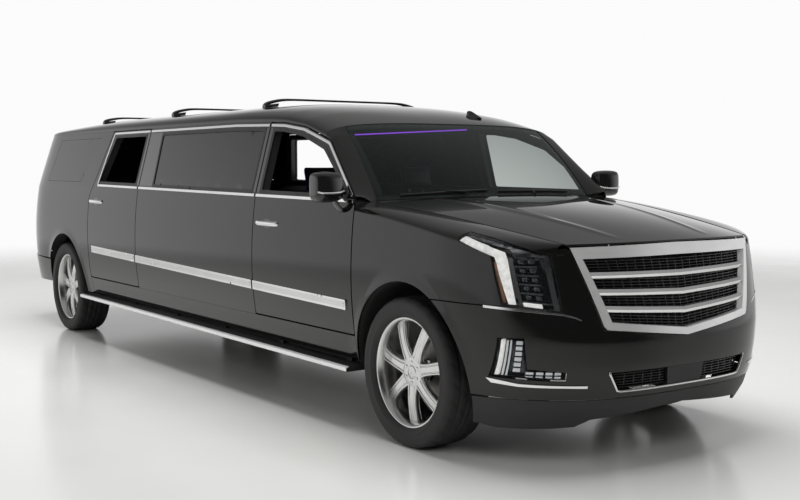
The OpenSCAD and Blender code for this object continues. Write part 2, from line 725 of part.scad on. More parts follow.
module hood_brackets() both_sides() difference() {
    block(hood_pivot_x - 14, hood_pivot_x + 14, hood_pivot_y + seat_gap, hood_pivot_y + 12,
        belt_z - 60 + seat_gap, hood_pivot_z + 12);
    rod_y(hood_pivot_x, hood_pivot_z, hood_pivot_y - 1, hood_pivot_y + 20, 6 + pin_gap);
}

// Rounded shoulder between the fender wall and the hood's side gap
shoulder_drop = 55;
liner_low_z = kick_z + rail_h;
shoulder_end_x = front_axle_x + 850;
function shoulder_at(x, s, c, d) =
    let (z0 = crest(x) - shoulder_drop, y0 = wall_y(x, z0), y1 = hood_edge_y(s) + shut_gap)
    [x, y1 + (y0 - d - y1) * cos(90 * c), z0 + (shoulder_drop - d) * sin(90 * c)];
shoulder_cs = [0, 0.25, 0.5, 0.75, 1];
function s_at(x) = (x - hood_rear_x + 70) / (nose_x - 180 - hood_rear_x + 70);
module shoulder() {
    xs = [for (i = [0:10]) hinge_line_x + shut_gap
        + (shoulder_end_x - hinge_line_x - shut_gap) * i / 10];
    shell([for (x = xs) [for (c = shoulder_cs) shoulder_at(x, max(0, s_at(x)), 1 - c, 0)]],
        [for (x = xs) [for (c = shoulder_cs) shoulder_at(x, max(0, s_at(x)), 1 - c, skin_t)]]);
}

lamp_low_z = waist_z - 55;
lamp_tip = [front_axle_x + 440, waist_z + 249];
lamp_bend = [front_axle_x + 633, waist_z + 184];
lamp_foot = [front_axle_x + 700, lamp_low_z];
lamp_head = [front_axle_x + 745, waist_z + 194];
module front_fenders() color("#17171a") {
    x0 = hinge_line_x + shut_gap;
    x1 = lamp_head[0];
    side = concat(
        [[x0, sill_z]],
        [for (i = [0:12]) let (x = x0 + (x1 - x0) * i / 12)
            [x, crest(x) - shoulder_drop - seat_gap]],
        [lamp_head + [0, seat_gap], lamp_tip + seat_gap * [-13, 3.4], lamp_bend - [seat_gap, 0],
            lamp_foot - [seat_gap, 0], [front_axle_x + 200, lamp_low_z], [front_axle_x + 200, sill_z]]
    );
    difference() {
        intersection() {
            nose_shell(0, skin_t, x0, crest_zs);
            union() {
                side_prism(side, 300, far / 2);
                side_prism(side, -far / 2, -300);
            }
        }
        arch_cuts();
    }
    both_sides() {
        shoulder();
        // Liner over the wheel
        difference() {
            intersection() {
                rod_y(front_axle_x, axle_z, 0, far, arch_r + liner_t);
                union() {
                    wall([[front_axle_x - 430, liner_low_z], [nose_mid_x, liner_low_z],
                        [nose_mid_x, post_top_z], [front_axle_x - 430, post_top_z]],
                        skin_t + seat_gap, 320);
                    block(nose_mid_x - 10, front_axle_x + 430, 700, half_w - 40, liner_low_z, post_top_z);
                }
            }
            rod_y(front_axle_x, axle_z, 0, far, arch_r);
        }
    }
}

grille_low_y = 525;
grille_top_y = 650;
grille_low_z = 709;
grille_tip_z = 650;
grille_top_z = 1104;
lamp_in_y = 722;
lamp_pts = [
    [lamp_in_y, lamp_low_z - 29], [935, lamp_low_z], [far, lamp_low_z], [far, lamp_tip[1]],
    [lamp_in_y + 24, lamp_tip[1]]
];
lamp_side_pts = [
    lamp_tip, lamp_bend, lamp_foot, [lamp_foot[0], lamp_low_z - 60], [nose_x, lamp_low_z - 60],
    [nose_x, lamp_head[1] - 30], lamp_head
];
fog_pts = [
    [935, 470], [935, 668], [862, 672], [845, 520], [700, 505], [700, 462]
];
fog_x = front_axle_x + 600;
intake_pts = [
    [495, 496], [443, 404], [-443, 404], [-495, 496]
];

bumper_low_z = 365;
module front_bumper() color("#17171a") {
    zone = [
        [0, bumper_low_z], [far, bumper_low_z], [far, lamp_low_z - seat_gap],
        [935, lamp_low_z - seat_gap], [lamp_in_y - seat_gap, lamp_low_z - 29 - seat_gap],
        [lamp_in_y + 19 - seat_gap, waist_z + 186], [grille_top_y + 30, waist_z + 186],
        [grille_top_y + 2, grille_top_z - 6], [grille_low_y + 2, grille_low_z - 4],
        [0, grille_tip_z - seat_gap]
    ];
    difference() {
        intersection() {
            nose_shell(0, skin_t, nose_mid_x - 10, concat(nose_zs, [1100, 1116]));
            union() {
                front_prism(zone, front_axle_x + 205, nose_x + 50);
                mirror([0, 1, 0]) front_prism(zone, front_axle_x + 205, nose_x + 50);
            }
        }
        arch_cuts();
        front_prism(intake_pts, nose_x - 300, nose_x + 50);
        both_sides() front_prism(fog_pts, fog_x, nose_x + 50);
    }
    // Beam that ties the skin to the frame
    block(frame_start_x + seat_gap, frame_start_x + 70, -600, 600, kick_z + 30, kick_z + 110);
    block(frame_start_x + 60, nose_x - skin_t - 8, -60, 60, kick_z + 50, kick_z + 90);
}

module air_dam() color("#1c1c1d") difference() {
    intersection() {
        nose_shell(3, 12, nose_mid_x - 10, [low_z, 260, 330, bumper_low_z - seat_gap]);
        block(front_axle_x + 205, nose_x + 50, -far, far, 0, far);
    }
    arch_cuts();
}

grille_edge = 38;
function grille_half(z) =
    mix(grille_low_y, grille_top_y, (z - grille_low_z) / (grille_top_z - grille_low_z)) - grille_edge;
module grille() color("#c3c6ca") {
    frame = [
        [0, grille_tip_z], [grille_low_y, grille_low_z], [grille_top_y, grille_top_z],
        [-grille_top_y, grille_top_z], [-grille_low_y, grille_low_z]
    ];
    bars = 3;
    top_bar = 46;
    bar_h = 34;
    step = (grille_top_z - top_bar - grille_low_z) / 4;
    intersection() {
        nose_shell(-4, 26, nose_mid_x + 300, [600, 700, 800, 900, 1000, 1116]);
        difference() {
            front_prism(frame, nose_x - 300, nose_x + 50);
            for (i = [0:bars]) {
                z0 = grille_low_z + step * i + (i > 0 ? bar_h / 2 : 0);
                z1 = grille_low_z + step * (i + 1) - (i < bars ? bar_h / 2 : 0);
                front_prism([[grille_half(z0), z0], [grille_half(z1), z1], [-grille_half(z1), z1],
                    [-grille_half(z0), z0]], nose_x - 300, nose_x + 50);
            }
        }
    }
    // Dark mesh behind the bars
    intersection() {
        nose_shell(26 + seat_gap, 34, nose_mid_x + 300, [600, 700, 800, 900, 1000, 1116]);
        front_prism(frame, nose_x - 300, nose_x + 50);
    }
}

module lower_grille() color("#26272a") intersection() {
    nose_shell(2, 14, nose_mid_x + 300, [380, 450, 520]);
    front_prism([for (p = intake_pts) [p[0] * (1 - seat_gap / 440), p[1] - sign(p[1] - 450) * seat_gap]],
        nose_x - 300, nose_x + 50);
}

module headlights() color("#b9c2cc") both_sides() intersection() {
    nose_shell(1, 40, nose_mid_x - 10, [780, 830, waist_z, 950, 1020, 1116]);
    front_prism(lamp_pts, lamp_tip[0] - 1, nose_x + 50);
    side_prism(lamp_side_pts, 300, far / 2);
}

module fog_lamps() color("#b9c2cc") both_sides() intersection() {
    nose_shell(4, 40, nose_mid_x - 10, [450, 520, 600, 690]);
    front_prism([for (p = fog_pts) [p[0] - (p[0] > 900 ? seat_gap : -seat_gap * (p[0] < 710 ? 1 : 0)),
        p[1] + (p[1] > 600 ? -seat_gap : p[1] > 480 ? -seat_gap : seat_gap)]], fog_x, nose_x + 50);
}

// The long fixed panel between the front and rear doors
stretch_x0 = rear_door_start_x + shut_gap;
stretch_x1 = front_door_end_x - shut_gap;
pane_front = stretch_x1 - 60;
pane_rear = stretch_x0 + 275;
function stretch_window(e) = [
    [pane_rear + e, sash_z(pane_rear) + e], [pane_front - e, sash_z(pane_front) + e],
    [pane_front - e, frame_top(pane_front) - glass_edge - e],
    [bar_front_x, eave_z - top_trim - glass_edge - e],
    [pane_rear - 28 + e, eave_z - top_trim - glass_edge - e]
];

module stretch_panels() color("#17171a") both_sides() {
    core_x0 = rear_door_start_x + pillar_in;
    core_x1 = stretch_x1 - door_step;
    difference() {
        union() {
            wall([[stretch_x0, sill_top_z], [stretch_x1, sill_top_z],
                [stretch_x1, eave(stretch_x1) - seat_gap], [bar_front_x, eave_z - seat_gap],
                [stretch_x0, eave_z - seat_gap]], 0, skin_t);
            intersection() {
                wall([[core_x0, sill_top_z], [core_x1, sill_top_z], [core_x1, belt_z],
                    [core_x0, belt_z]], skin_t / 2, wall_t);
                block(-far * 2, far * 2, 0, far, 0, belt_z);
            }
            intersection() {
                wall([[core_x0, sill_top_z], [core_x1, sill_top_z],
                    [core_x1, eave(core_x1) - seat_gap], [bar_front_x, eave_z - seat_gap],
                    [core_x0, eave_z - seat_gap]], skin_t / 2, frame_depth);
                block(-far * 2, far * 2, 0, far, belt_z - 1, far);
            }
            hinge_arm(rear_door_start_x);
            hinge_post(rear_door_start_x);
        }
        side_prism(stretch_window(0), 500, far / 2);
    }
    strip(stretch_x0, stretch_x1);
}

quarter_pane = [
    [rear_axle_x - 550, sash_z(rear_axle_x) - 6], [rear_axle_x + 359, sash_z(rear_axle_x) - 6],
    [rear_axle_x + 640, eave_z - top_trim - glass_edge],
    [rear_axle_x - 420, eave_z - top_trim - glass_edge]
];
gate_half = 770;
gate_low_z = 652;
gate_top_half = gate_half - side_lean * (eave_z - belt_z) * 0.9;
function gate_pts(e) = [
    [gate_half + e, gate_low_z - e], [gate_half + e, belt_z], [gate_top_half + e, eave_z + 20],
    [-gate_top_half - e, eave_z + 20], [-gate_half - e, belt_z], [-gate_half - e, gate_low_z - e]
];
function gate_edge(z) =
    z < belt_z ? gate_half : mix(gate_half, gate_top_half, (z - belt_z) / (eave_z + 20 - belt_z));
tail_lamp_w = 84;
tail_lamp_top_z = eave_z - 40;
tail_lamp_pts = [
    [gate_half + shut_gap + 4, 930], [gate_half + shut_gap + tail_lamp_w, 930],
    [gate_half + shut_gap + tail_lamp_w, belt_z],
    [gate_edge(tail_lamp_top_z) + shut_gap + tail_lamp_w, tail_lamp_top_z],
    [gate_edge(tail_lamp_top_z) + shut_gap + 4, tail_lamp_top_z],
    [gate_half + shut_gap + 4, belt_z]
];

module quarter_panels() color("#17171a") {
    front = rear_door_end_x - shut_gap;
    difference() {
        tail_shell(0, wall_t, front + rear_slant, tail_zs);
        // Line of the rear door's rear edge
        both_sides() side_prism([[front + far, 0], [front, 0], [front, belt_z - 60],
            [front + 60, belt_z + 20], [front + rear_slant, eave_z + 1], [front + far, eave_z + 1]],
            300, far / 2);
        // Rebate that the door's thick core closes into
        both_sides() intersection() {
            side_prism([[front + far, 0], [front - door_step, 0], [front - door_step, belt_z - 60],
                [front + 60 - door_step, belt_z + 20],
                [front + rear_slant - door_step, eave_z + 1], [front + far, eave_z + 1]],
                300, far / 2);
            band(skin_t, wall_t + 80);
        }
        front_prism(gate_pts(shut_gap), tail_x - 100, tail_mid_x - 200);
        front_prism([[far, 0], [far, 642], [-far, 642], [-far, 0]], tail_x - 100, rear_axle_x - 200);
        both_sides() front_prism(tail_lamp_pts, tail_x - 100, tail_mid_x - 500);
        both_sides() side_prism(quarter_pane, 300, far / 2);
        arch_cuts();
    }
}

module tail_lamps() color("#8c1a1c") both_sides() intersection() {
    tail_shell(0, 50, tail_mid_x - 100, [for (z = tail_zs) if (z >= waist_z) z]);
    front_prism([for (p = tail_lamp_pts) p], tail_x - 100, tail_mid_x - 500);
}

module side_glass() color("#17191c") both_sides() {
    wall(stretch_window(seat_gap), 3, 8);
    intersection() {
        tail_shell(3, 8, rear_door_end_x + 200, [belt_z, 1480, 1640, eave_z]);
        side_prism([[quarter_pane[0][0] + 1, quarter_pane[0][1] + seat_gap],
            [quarter_pane[1][0] - seat_gap, quarter_pane[1][1] + seat_gap],
            [quarter_pane[2][0] - seat_gap, quarter_pane[2][1] - seat_gap],
            [quarter_pane[3][0] + seat_gap, quarter_pane[3][1] - seat_gap]], 300, far / 2);
    }
}

module rear_bumper() color("#17171a") difference() {
    intersection() {
        tail_shell(0, 49, tail_mid_x + 50, [sill_z, 520, 642 - seat_gap]);
        block(tail_x - 50, rear_axle_x - 300, -far, far, 0, far);
    }
    arch_cuts();
}

gate_t = 60;
gate_pivot_x = roof_end_x - 20;
gate_pivot_z = crown(roof_end_x) - 16;
gate_hinge_y = 420;
gate_pin_r = 5;
spoiler_pts = [
    [roof_end_x - 12, crown(roof_end_x) - 3], [roof_end_x - 112, crown(roof_end_x) - 10],
    [roof_end_x - 112, crown(roof_end_x) - 26], [roof_end_x - 50, eave_z - 12],
    [roof_end_x - 12, eave_z - 12]
];
gate_window = [
    [gate_half - 70, belt_z + 40], [gate_top_half - 60, eave_z - 70],
    [-gate_top_half + 60, eave_z - 70], [-gate_half + 70, belt_z + 40]
];

module tailgate() color("#17171a") {
    difference() {
        union() {
            intersection() {
                tail_shell(0, gate_t, tail_mid_x - 100, [for (z = tail_zs) if (z > 600) z]);
                front_prism(gate_pts(0), tail_x - 100, tail_mid_x - 300);
            }
            side_prism(spoiler_pts, -gate_top_half + 40, gate_top_half - 40);
            block(tail_x + 45, tail_x + 90, -165, 165, waist_z - 80, waist_z + 80);
        }
        front_prism(gate_window, tail_x - 100, tail_mid_x - 300);
        both_sides() block(gate_pivot_x - 26, roof_end_x + 5, gate_hinge_y - lug_w / 2 - seat_gap,
            gate_hinge_y + lug_w / 2 + seat_gap, eave_z - 60, gate_pivot_z + 30);
        for (sy = [-1, 1]) for (sz = [-1, 1])
            translate([tail_x + 44, sy * plate_dx / 2, waist_z + sz * plate_dz / 2])
                rotate([0, 90, 0]) cylinder(h = 21, r = plate_hole_r);
    }
    both_sides() rod_y(gate_pivot_x, gate_pivot_z, gate_hinge_y - 24, gate_hinge_y + 24, gate_pin_r);
}

module tailgate_glass() color("#17191c") intersection() {
    tail_shell(4, 9, tail_mid_x - 100, [belt_z, 1400, 1480, 1640, 1700, eave_z]);
    front_prism([for (p = gate_window) [p[0] - sign(p[0]) * seat_gap,
        p[1] + (p[1] > 1500 ? -seat_gap : seat_gap)]], tail_x - 100, tail_mid_x - 300);
}

// Fixed halves of the tailgate hinges, on the rear face of the roof
lug_w = 32;
module gate_lugs() both_sides() difference() {
    union() {
        rod_y(gate_pivot_x, gate_pivot_z, gate_hinge_y - lug_w / 2, gate_hinge_y + lug_w / 2, 9);
        block(gate_pivot_x, roof_end_x - seat_gap, gate_hinge_y - lug_w / 2, gate_hinge_y + lug_w / 2,
            gate_pivot_z - 9, gate_pivot_z + 5);
    }
    rod_y(gate_pivot_x, gate_pivot_z, 0, far, gate_pin_r + pin_gap);
}

module running_boards() color("#3a3c3f") both_sides() {
    x0 = rear_axle_x + arch_r + 20;
    x1 = front_axle_x - arch_r - 6;
    side_prism([[x0, 352], [x1, 335], [x1, 368], [x0, 385]], half_w - 130, half_w + 38);
    for (i = [0:5]) {
        x = x0 + 150 + (x1 - x0 - 300) * i / 5;
        block(x - 30, x + 30, half_w - 130, half_w - 80, 360, sill_z - seat_gap);
    }
}

// ---------------------------------------------------------------- cabin

module dashboard() color("#1e1f22") {
    front = firewall_x - 15 - seat_gap;
    side_prism([
        [front, 820], [front, belt_z - 46], [front - 250, belt_z - 50],
        [front - 340, belt_z - 100], [front - 340, 1080], [front - 260, 1000], [front - 150, 820]
    ], -820, 820);
    block(front - 1000, front - 60, -130, 130, floor_low_z + floor_t + seat_gap, 830);
    translate([steer_x, steer_y, steer_z]) rotate([0, 90 + steer_tilt, 0])
        translate([0, 0, 40]) cylinder(h = 190, r = 32);
}

steer_tilt = 24;
steer_x = firewall_x - 500;
steer_y = 400;
steer_z = 1120;
module steering_wheel() color("#18191b")
    translate([steer_x, steer_y, steer_z]) rotate([0, 90 + steer_tilt, 0]) {
        rotate_extrude() translate([180, 0]) circle(r = 16);
        cylinder(h = 40 - seat_gap, r = 45);
        for (a = [0, 120, 240]) rotate(a + 90) block(20, 170, -18, 18, -6, 8);
    }

// A seat facing forward, with its front edge at x
module seat(x, y, w) {
    low = floor_low_z + floor_t + seat_gap;
    side_prism([
        [x, low + 140], [x, low + 300], [x - 480, low + 280], [x - 640, low + 860],
        [x - 655, low + 1010], [x - 770, low + 1010], [x - 760, low + 800], [x - 620, low + 140]
    ], y - w / 2, y + w / 2);
    block(x - 560, x - 60, y - w / 2 + 60, y + w / 2 - 60, low, low + 142);
}

module front_seats() color("#202124") both_sides() seat(firewall_x - 640, 400, 520);

module lounge_seats() color("#202124") {
    low = floor_low_z + floor_t + seat_gap;
    x1 = front_door_end_x - 250;
    x0 = rear_door_start_x + post_len + 25;
    front_prism([
        [300, low], [300, low + 380], [640, low + 370], [720, low + 780], [840, low + 780],
        [840, low]
    ], x0, x1);
    high = floor_high_z + floor_t + seat_gap;
    side_prism([
        [rear_axle_x + 500, high], [rear_axle_x + 500, high + 260], [rear_axle_x + 60, high + 240],
        [rear_axle_x - 90, high + 760], [rear_axle_x - 220, high + 760], [rear_axle_x - 60, high]
    ], -670, 670);
}

// ---------------------------------------------------------------- roof fittings

bar_xs = [bar_front_x, (bar_front_x + bar_rear_x) / 2, bar_rear_x];
bar_w = 55;
module roof_bars() color("#101012") for (x = bar_xs) {
    a = roof_at(x, roof_ts[roof_cols + 4], 0);
    b = roof_at(x, roof_ts[roof_cols + 5], 0);
    top = 22;
    lift = 1;
    half = [
        [b[1], b[2] + lift], [b[1] + 8, b[2] + 12], [b[1] - 30, b[2] + 34],
        [a[1] - 60, crown(x) + top + 8], [0, crown(x) + top + 22]
    ];
    low = [
        [0, crown(x) + top], [a[1] - 60, crown(x) + top - 10], [a[1], a[2] + lift]
    ];
    pts = concat(half, [for (i = [3:-1:0]) [-half[i][0], half[i][1]]],
        [for (i = [2:-1:1]) [-low[i][0], low[i][1]]], low);
    front_prism(pts, x - bar_w / 2, x + bar_w / 2);
}

antenna_x = hinge_line_x - 600;
antenna_y = 390;
module antenna() color("#121214") {
    z = roof_at(antenna_x, antenna_y / eave_y(antenna_x), 0)[2];
    difference() {
        hull() {
            translate([antenna_x, antenna_y, z - 18]) cylinder(h = 20, r = 34, $fn = 32);
            translate([antenna_x - 110, antenna_y, z - 10]) cylinder(h = 20, r = 26, $fn = 32);
            translate([antenna_x - 120, antenna_y, z + 40]) cylinder(h = 24, r = 6, $fn = 32);
        }
        roof();
        block(antenna_x - 300, antenna_x + 300, antenna_y - 100, antenna_y + 100, 0, z - 40);
    }
}

// ---------------------------------------------------------------- pieces

chassis_rails();
crossmembers();
floor_pan();
engine_block();
fuel_tank();
exhaust();
driveshaft();
rear_axle();
front_suspension();
body_sides();
roof();
front_fenders();
front_bumper();
air_dam();
grille();
lower_grille();
headlights();
fog_lamps();
windscreen();
stretch_panels();
quarter_panels();
side_glass();
running_boards();
rear_bumper();
tail_lamps();
dashboard();
front_seats();
lounge_seats();
roof_bars();
antenna();
hood();
tailgate();
tailgate_glass();
front_door_left();
front_door_right();
rear_door_left();
rear_door_right();
mirror_left();
mirror_right();
steering_wheel();
knuckle_left();
knuckle_right();
tyre_front_left();
tyre_front_right();
tyre_rear_left();
tyre_rear_right();
wheel_front_left();
wheel_front_right();
wheel_rear_left();
wheel_rear_right();
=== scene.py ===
# %% [markdown]
# # A stretch limousine
# A long car is mostly a few big painted sheets, so the lesson starts with one idea: every body
# panel is a flat outline that a formula bends onto the body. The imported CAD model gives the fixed
# frame, and each piece made here rides on one of its moving bodies.

# %% Load the frame
import math

import bmesh
import bpy
import numpy as np
from mathutils import Matrix, Vector, geometry, kdtree


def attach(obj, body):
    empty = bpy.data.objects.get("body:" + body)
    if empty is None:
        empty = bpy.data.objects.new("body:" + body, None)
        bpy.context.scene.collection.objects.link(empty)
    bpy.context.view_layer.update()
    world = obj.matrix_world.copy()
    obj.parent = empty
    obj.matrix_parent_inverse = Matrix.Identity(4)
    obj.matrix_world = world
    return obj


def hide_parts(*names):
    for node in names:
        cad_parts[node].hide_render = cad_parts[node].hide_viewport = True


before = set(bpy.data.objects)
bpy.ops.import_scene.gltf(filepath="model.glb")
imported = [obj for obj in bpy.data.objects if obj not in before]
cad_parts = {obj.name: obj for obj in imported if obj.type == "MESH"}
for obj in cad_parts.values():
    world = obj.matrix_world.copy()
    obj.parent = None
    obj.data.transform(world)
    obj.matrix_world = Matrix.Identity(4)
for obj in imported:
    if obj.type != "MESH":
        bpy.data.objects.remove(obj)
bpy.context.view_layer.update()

# %% [markdown]
# ## Sizes
# The body's curves come from a handful of sizes in millimetres. They repeat the values of the
# part's source, so that the fine surfaces lie where the CAD's plain ones are.

# %% Sizes
NOSE_X, TAIL_X = 3890, -3890
FRONT_AXLE_X, REAR_AXLE_X, AXLE_Z = 2840, -2540, 401.6
WHEEL_Y, TYRE_R, TYRE_W, RIM_R, RIM_W, ARCH_R = 872, 407, 285, 297, 236, 490
HINGE_X, FRONT_DOOR_END = 2335, 1150
REAR_DOOR_END, REAR_DOOR_START = -1910, -840
HALF_W, BELT_TUCK, SILL_TUCK, SIDE_LEAN = 1022, 32, 53, 0.27
BELT_Z, WAIST_Z, DOOR_LOW_Z, SILL_Z, EAVE_Z, ROOF_Z = 1310, 880, 546, 400, 1800, 1935
GAP = 9
BELT_W = HALF_W - BELT_TUCK
NOSE_MID, TAIL_MID = FRONT_AXLE_X + 200, REAR_AXLE_X - 360
BAR_FRONT_X, BAR_REAR_X = HINGE_X - 1685, REAR_AXLE_X + 90
ROOF_END = TAIL_X + 330
MM = 0.001
print("wheelbase", FRONT_AXLE_X - REAR_AXLE_X, "mm, doors", HINGE_X - FRONT_DOOR_END, "and",
      REAR_DOOR_START - REAR_DOOR_END, "mm long")


# %% [markdown]
# ## Shader maths
# A procedural finish needs sums on noise values. Node by node they are hard to read, so one small
# class wraps a socket and lets Python write the sum. Each operator adds one Math node.

# %% A socket that does arithmetic
class Wire:
    def __init__(self, finish, socket):
        self.finish, self.socket = finish, socket

    def sum_with(self, operation, first, second):
        return self.finish.node("ShaderNodeMath", {"operation": operation}, [first, second])

    def __add__(self, other): return self.sum_with("ADD", self, other)
    def __radd__(self, other): return self.sum_with("ADD", other, self)
    def __mul__(self, other): return self.sum_with("MULTIPLY", self, other)
    def __rmul__(self, other): return self.sum_with("MULTIPLY", other, self)
    def __pow__(self, other): return self.sum_with("POWER", self, other)
    def __rpow__(self, other): return self.sum_with("POWER", other, self)
    def __gt__(self, other): return self.sum_with("GREATER_THAN", self, other)
    def __lt__(self, other): return self.sum_with("LESS_THAN", self, other)


# %% [markdown]
# A finish is one shader and the nodes that feed it. This class holds both, and its method `node`
# adds any node with its settings and inputs, so a material below takes only a few lines.

# %% A finish: one material and the method that adds its nodes
class Finish:
    def __init__(self, name, **constants):
        self.mat = bpy.data.materials.new(name)
        self.mat.use_nodes = True
        self.tree = self.mat.node_tree
        self.shader = self.tree.nodes["Principled BSDF"]
        self.output = self.tree.nodes["Material Output"]
        for key, value in constants.items():
            self.shader.inputs[key.replace("_", " ")].default_value = value

    def node(self, kind, settings=None, inputs=None, out=0):
        made = self.tree.nodes.new(kind)
        for key, value in (settings or {}).items():
            if key == "stops":
                for stop, (at, colour) in zip(self.stops_of(made, len(value)), value):
                    stop.position, stop.color = at, (*colour, 1)
            else:
                setattr(made, key, value)
        pairs = inputs.items() if isinstance(inputs, dict) else enumerate(inputs or [])
        for key, value in pairs:
            if isinstance(value, Wire):
                self.tree.links.new(value.socket, made.inputs[key])
            else:
                made.inputs[key].default_value = value
        return Wire(self, made.outputs[out])

    def stops_of(self, ramp, count):
        while len(ramp.color_ramp.elements) < count:
            ramp.color_ramp.elements.new(1)
        return ramp.color_ramp.elements

    def place(self):
        return self.node("ShaderNodeTexCoord", out=3)

    def noise(self, scale, detail=2.0, at=None):
        return self.node("ShaderNodeTexNoise", {}, {"Vector": at or self.place(), "Scale": scale,
                                                    "Detail": detail})

    def colours(self, factor, low, high):
        return self.node("ShaderNodeMix", {"data_type": "RGBA"},
                         {0: factor, 6: (*low, 1), 7: (*high, 1)}, out=2)

    def bump(self, height, distance, strength=1.0):
        return self.node("ShaderNodeBump", {}, {"Height": height, "Distance": distance,
                                                "Strength": strength})

    def drive(self, **links):
        for key, wire in links.items():
            self.tree.links.new(wire.socket, self.shader.inputs[key.replace("_", " ")])
        return self


# %% [markdown]
# ## Finishes
# Gloss paint is nearly black under a clear coat; what one sees is the room in the coat. A faint
# wide noise in the roughness keeps it from looking like plastic, and very shallow orange peel
# breaks the edges of reflections as sprayed paint does.

# %% Paint
paint = Finish("gloss black paint", Base_Color=(0.006, 0.0055, 0.005, 1), Roughness=0.3,
               Coat_Weight=1.0, Coat_Roughness=0.02, Coat_IOR=1.5, Specular_IOR_Level=0.0)
peel = paint.noise(420, 1.0)
paint.drive(Base_Color=paint.colours(paint.noise(2400, 0.0) > 0.62, (0.005, 0.0047, 0.0045),
                                     (0.010, 0.0095, 0.009)),
            Roughness=0.24 + 0.1 * paint.noise(3, 3.0), Normal=paint.bump(peel, 0.00002, 0.25))
print("paint:", len(paint.tree.nodes), "nodes")

# %% [markdown]
# Bright metal is a metallic shader with low roughness. Chrome carries fine wipe marks, and the
# wheels are satin with a finer grain.

# %% Bright metals
def metal(name, colour, rough, spread, grain, bump=0.0):
    made = Finish(name, Base_Color=(*colour, 1), Metallic=1.0, Roughness=rough)
    marks = made.noise(grain, 4.0)
    dark = tuple(0.86 * c for c in colour)
    made.drive(Base_Color=made.colours(made.noise(7, 3.0), dark, colour),
               Roughness=rough + spread * marks)
    if bump:
        made.drive(Normal=made.bump(made.noise(grain * 3, 2.0), bump, 0.3))
    return made


chrome = metal("chrome", (0.88, 0.88, 0.88), 0.06, 0.06, 30)
wheel_silver = metal("bright wheel silver", (0.74, 0.74, 0.73), 0.22, 0.06, 60)
silver_trim = metal("silver trim", (0.88, 0.88, 0.88), 0.18, 0.08, 30)
silver_trim.shader.inputs["Metallic"].default_value = 0.5
steel = metal("ground steel", (0.42, 0.41, 0.39), 0.3, 0.2, 90, 0.0001)
cast_iron = metal("cast iron", (0.12, 0.115, 0.11), 0.55, 0.3, 160, 0.0004)
alloy = metal("cast alloy", (0.38, 0.385, 0.39), 0.42, 0.25, 120, 0.0003)
exhaust_steel = metal("exhaust steel", (0.45, 0.40, 0.34), 0.32, 0.3, 40, 0.0002)
print("seven metals made")

# %% [markdown]
# Plastics and rubber differ in the size of their moulded grain. One recipe serves them all: a
# colour that drifts a little, a roughness that drifts with it, and a grain height.

# %% Moulded plastics and rubber
def moulded(name, colour, rough, grain, depth, lift=1.5, **more):
    made = Finish(name, Base_Color=(*colour, 1), Roughness=rough, **more)
    drift = made.noise(5, 4.0)
    pale = tuple(lift * c for c in colour)
    return made.drive(Base_Color=made.colours(drift, colour, pale),
                      Roughness=rough - 0.06 + 0.14 * drift,
                      Normal=made.bump(made.noise(grain, 3.0), depth, 0.6))


rubber = moulded("tyre rubber", (0.014, 0.014, 0.014), 0.62, 220, 0.0003)
trim_black = moulded("grained black trim", (0.012, 0.012, 0.0125), 0.5, 700, 0.0003)
seal = moulded("window seal", (0.008, 0.008, 0.008), 0.45, 500, 0.0001)
liner = moulded("wheel liner", (0.007, 0.007, 0.007), 0.85, 90, 0.0008)
piano = moulded("gloss black plastic", (0.006, 0.006, 0.006), 0.12, 300, 0.00002, Coat_Weight=0.6)
underseal = moulded("underbody coating", (0.015, 0.015, 0.016), 0.75, 60, 0.001)
carpet = moulded("black carpet", (0.012, 0.012, 0.013), 0.95, 900, 0.0015, 2.2, Sheen_Weight=0.3)
headlining = moulded("grey headlining", (0.16, 0.15, 0.14), 0.9, 800, 0.0004, 1.15,
                     Sheen_Weight=0.2)
print("moulded finishes made")

# %% [markdown]
# Leather has a pebble grain: a cell pattern makes the pebbles and noise softens them.

# %% Leather
def leather(name, colour):
    made = Finish(name, Base_Color=(*colour, 1), Roughness=0.42, Coat_Weight=0.12)
    cells = made.node("ShaderNodeTexVoronoi", {"feature": "DISTANCE_TO_EDGE"},
                      {"Vector": made.place(), "Scale": 260.0})
    soft = made.noise(14, 4.0)
    pale = tuple(1.7 * c for c in colour)
    return made.drive(Base_Color=made.colours(soft, colour, pale),
                      Roughness=0.34 + 0.2 * soft, Normal=made.bump(cells, 0.0006, 0.45))


black_leather = leather("black leather", (0.016, 0.016, 0.017))
dash_leather = leather("dashboard leather", (0.02, 0.02, 0.021))
print("leathers made")

# %% [markdown]
# ## Glass
# Car glass is thin, so nothing is gained by bending light through it. A Mix Shader between a
# transparent and a glossy shader does it: the factor rises towards grazing angles as real
# reflection does, and dark privacy glass only lets a little through.

# %% Glass
def glass(name, colour, through, low, high):
    made = Finish(name, Base_Color=(*colour, 1), Roughness=0.02, Specular_IOR_Level=0.6)
    rim = made.node("ShaderNodeLayerWeight", {}, {"Blend": 0.5}, out=1)
    dust = made.noise(3, 4.0)
    made.drive(Roughness=0.015 + 0.03 * dust)
    clear = made.node("ShaderNodeBsdfTransparent", {}, {"Color": (*through, 1)})
    mixed = made.node("ShaderNodeMixShader", {}, {0: low + (high - low) * rim ** 2})
    made.tree.links.new(clear.socket, mixed.socket.node.inputs[1])
    made.tree.links.new(made.shader.outputs[0], mixed.socket.node.inputs[2])
    made.tree.links.new(mixed.socket, made.output.inputs[0])
    return made


clear_glass = glass("clear glass", (0.02, 0.024, 0.023), (0.86, 0.9, 0.88), 0.10, 0.95)
dark_glass = glass("privacy glass", (0.006, 0.0062, 0.0068), (0.10, 0.10, 0.11), 0.86, 1.0)
lens_glass = glass("lamp lens", (0.03, 0.03, 0.032), (0.96, 0.97, 0.98), 0.07, 0.8)
print("three kinds of glass made")


# %% [markdown]
# Lamps: coloured plastics, and small strips that give light. Their strength stays low, so that
# they show as lit lines and don't light the scene.

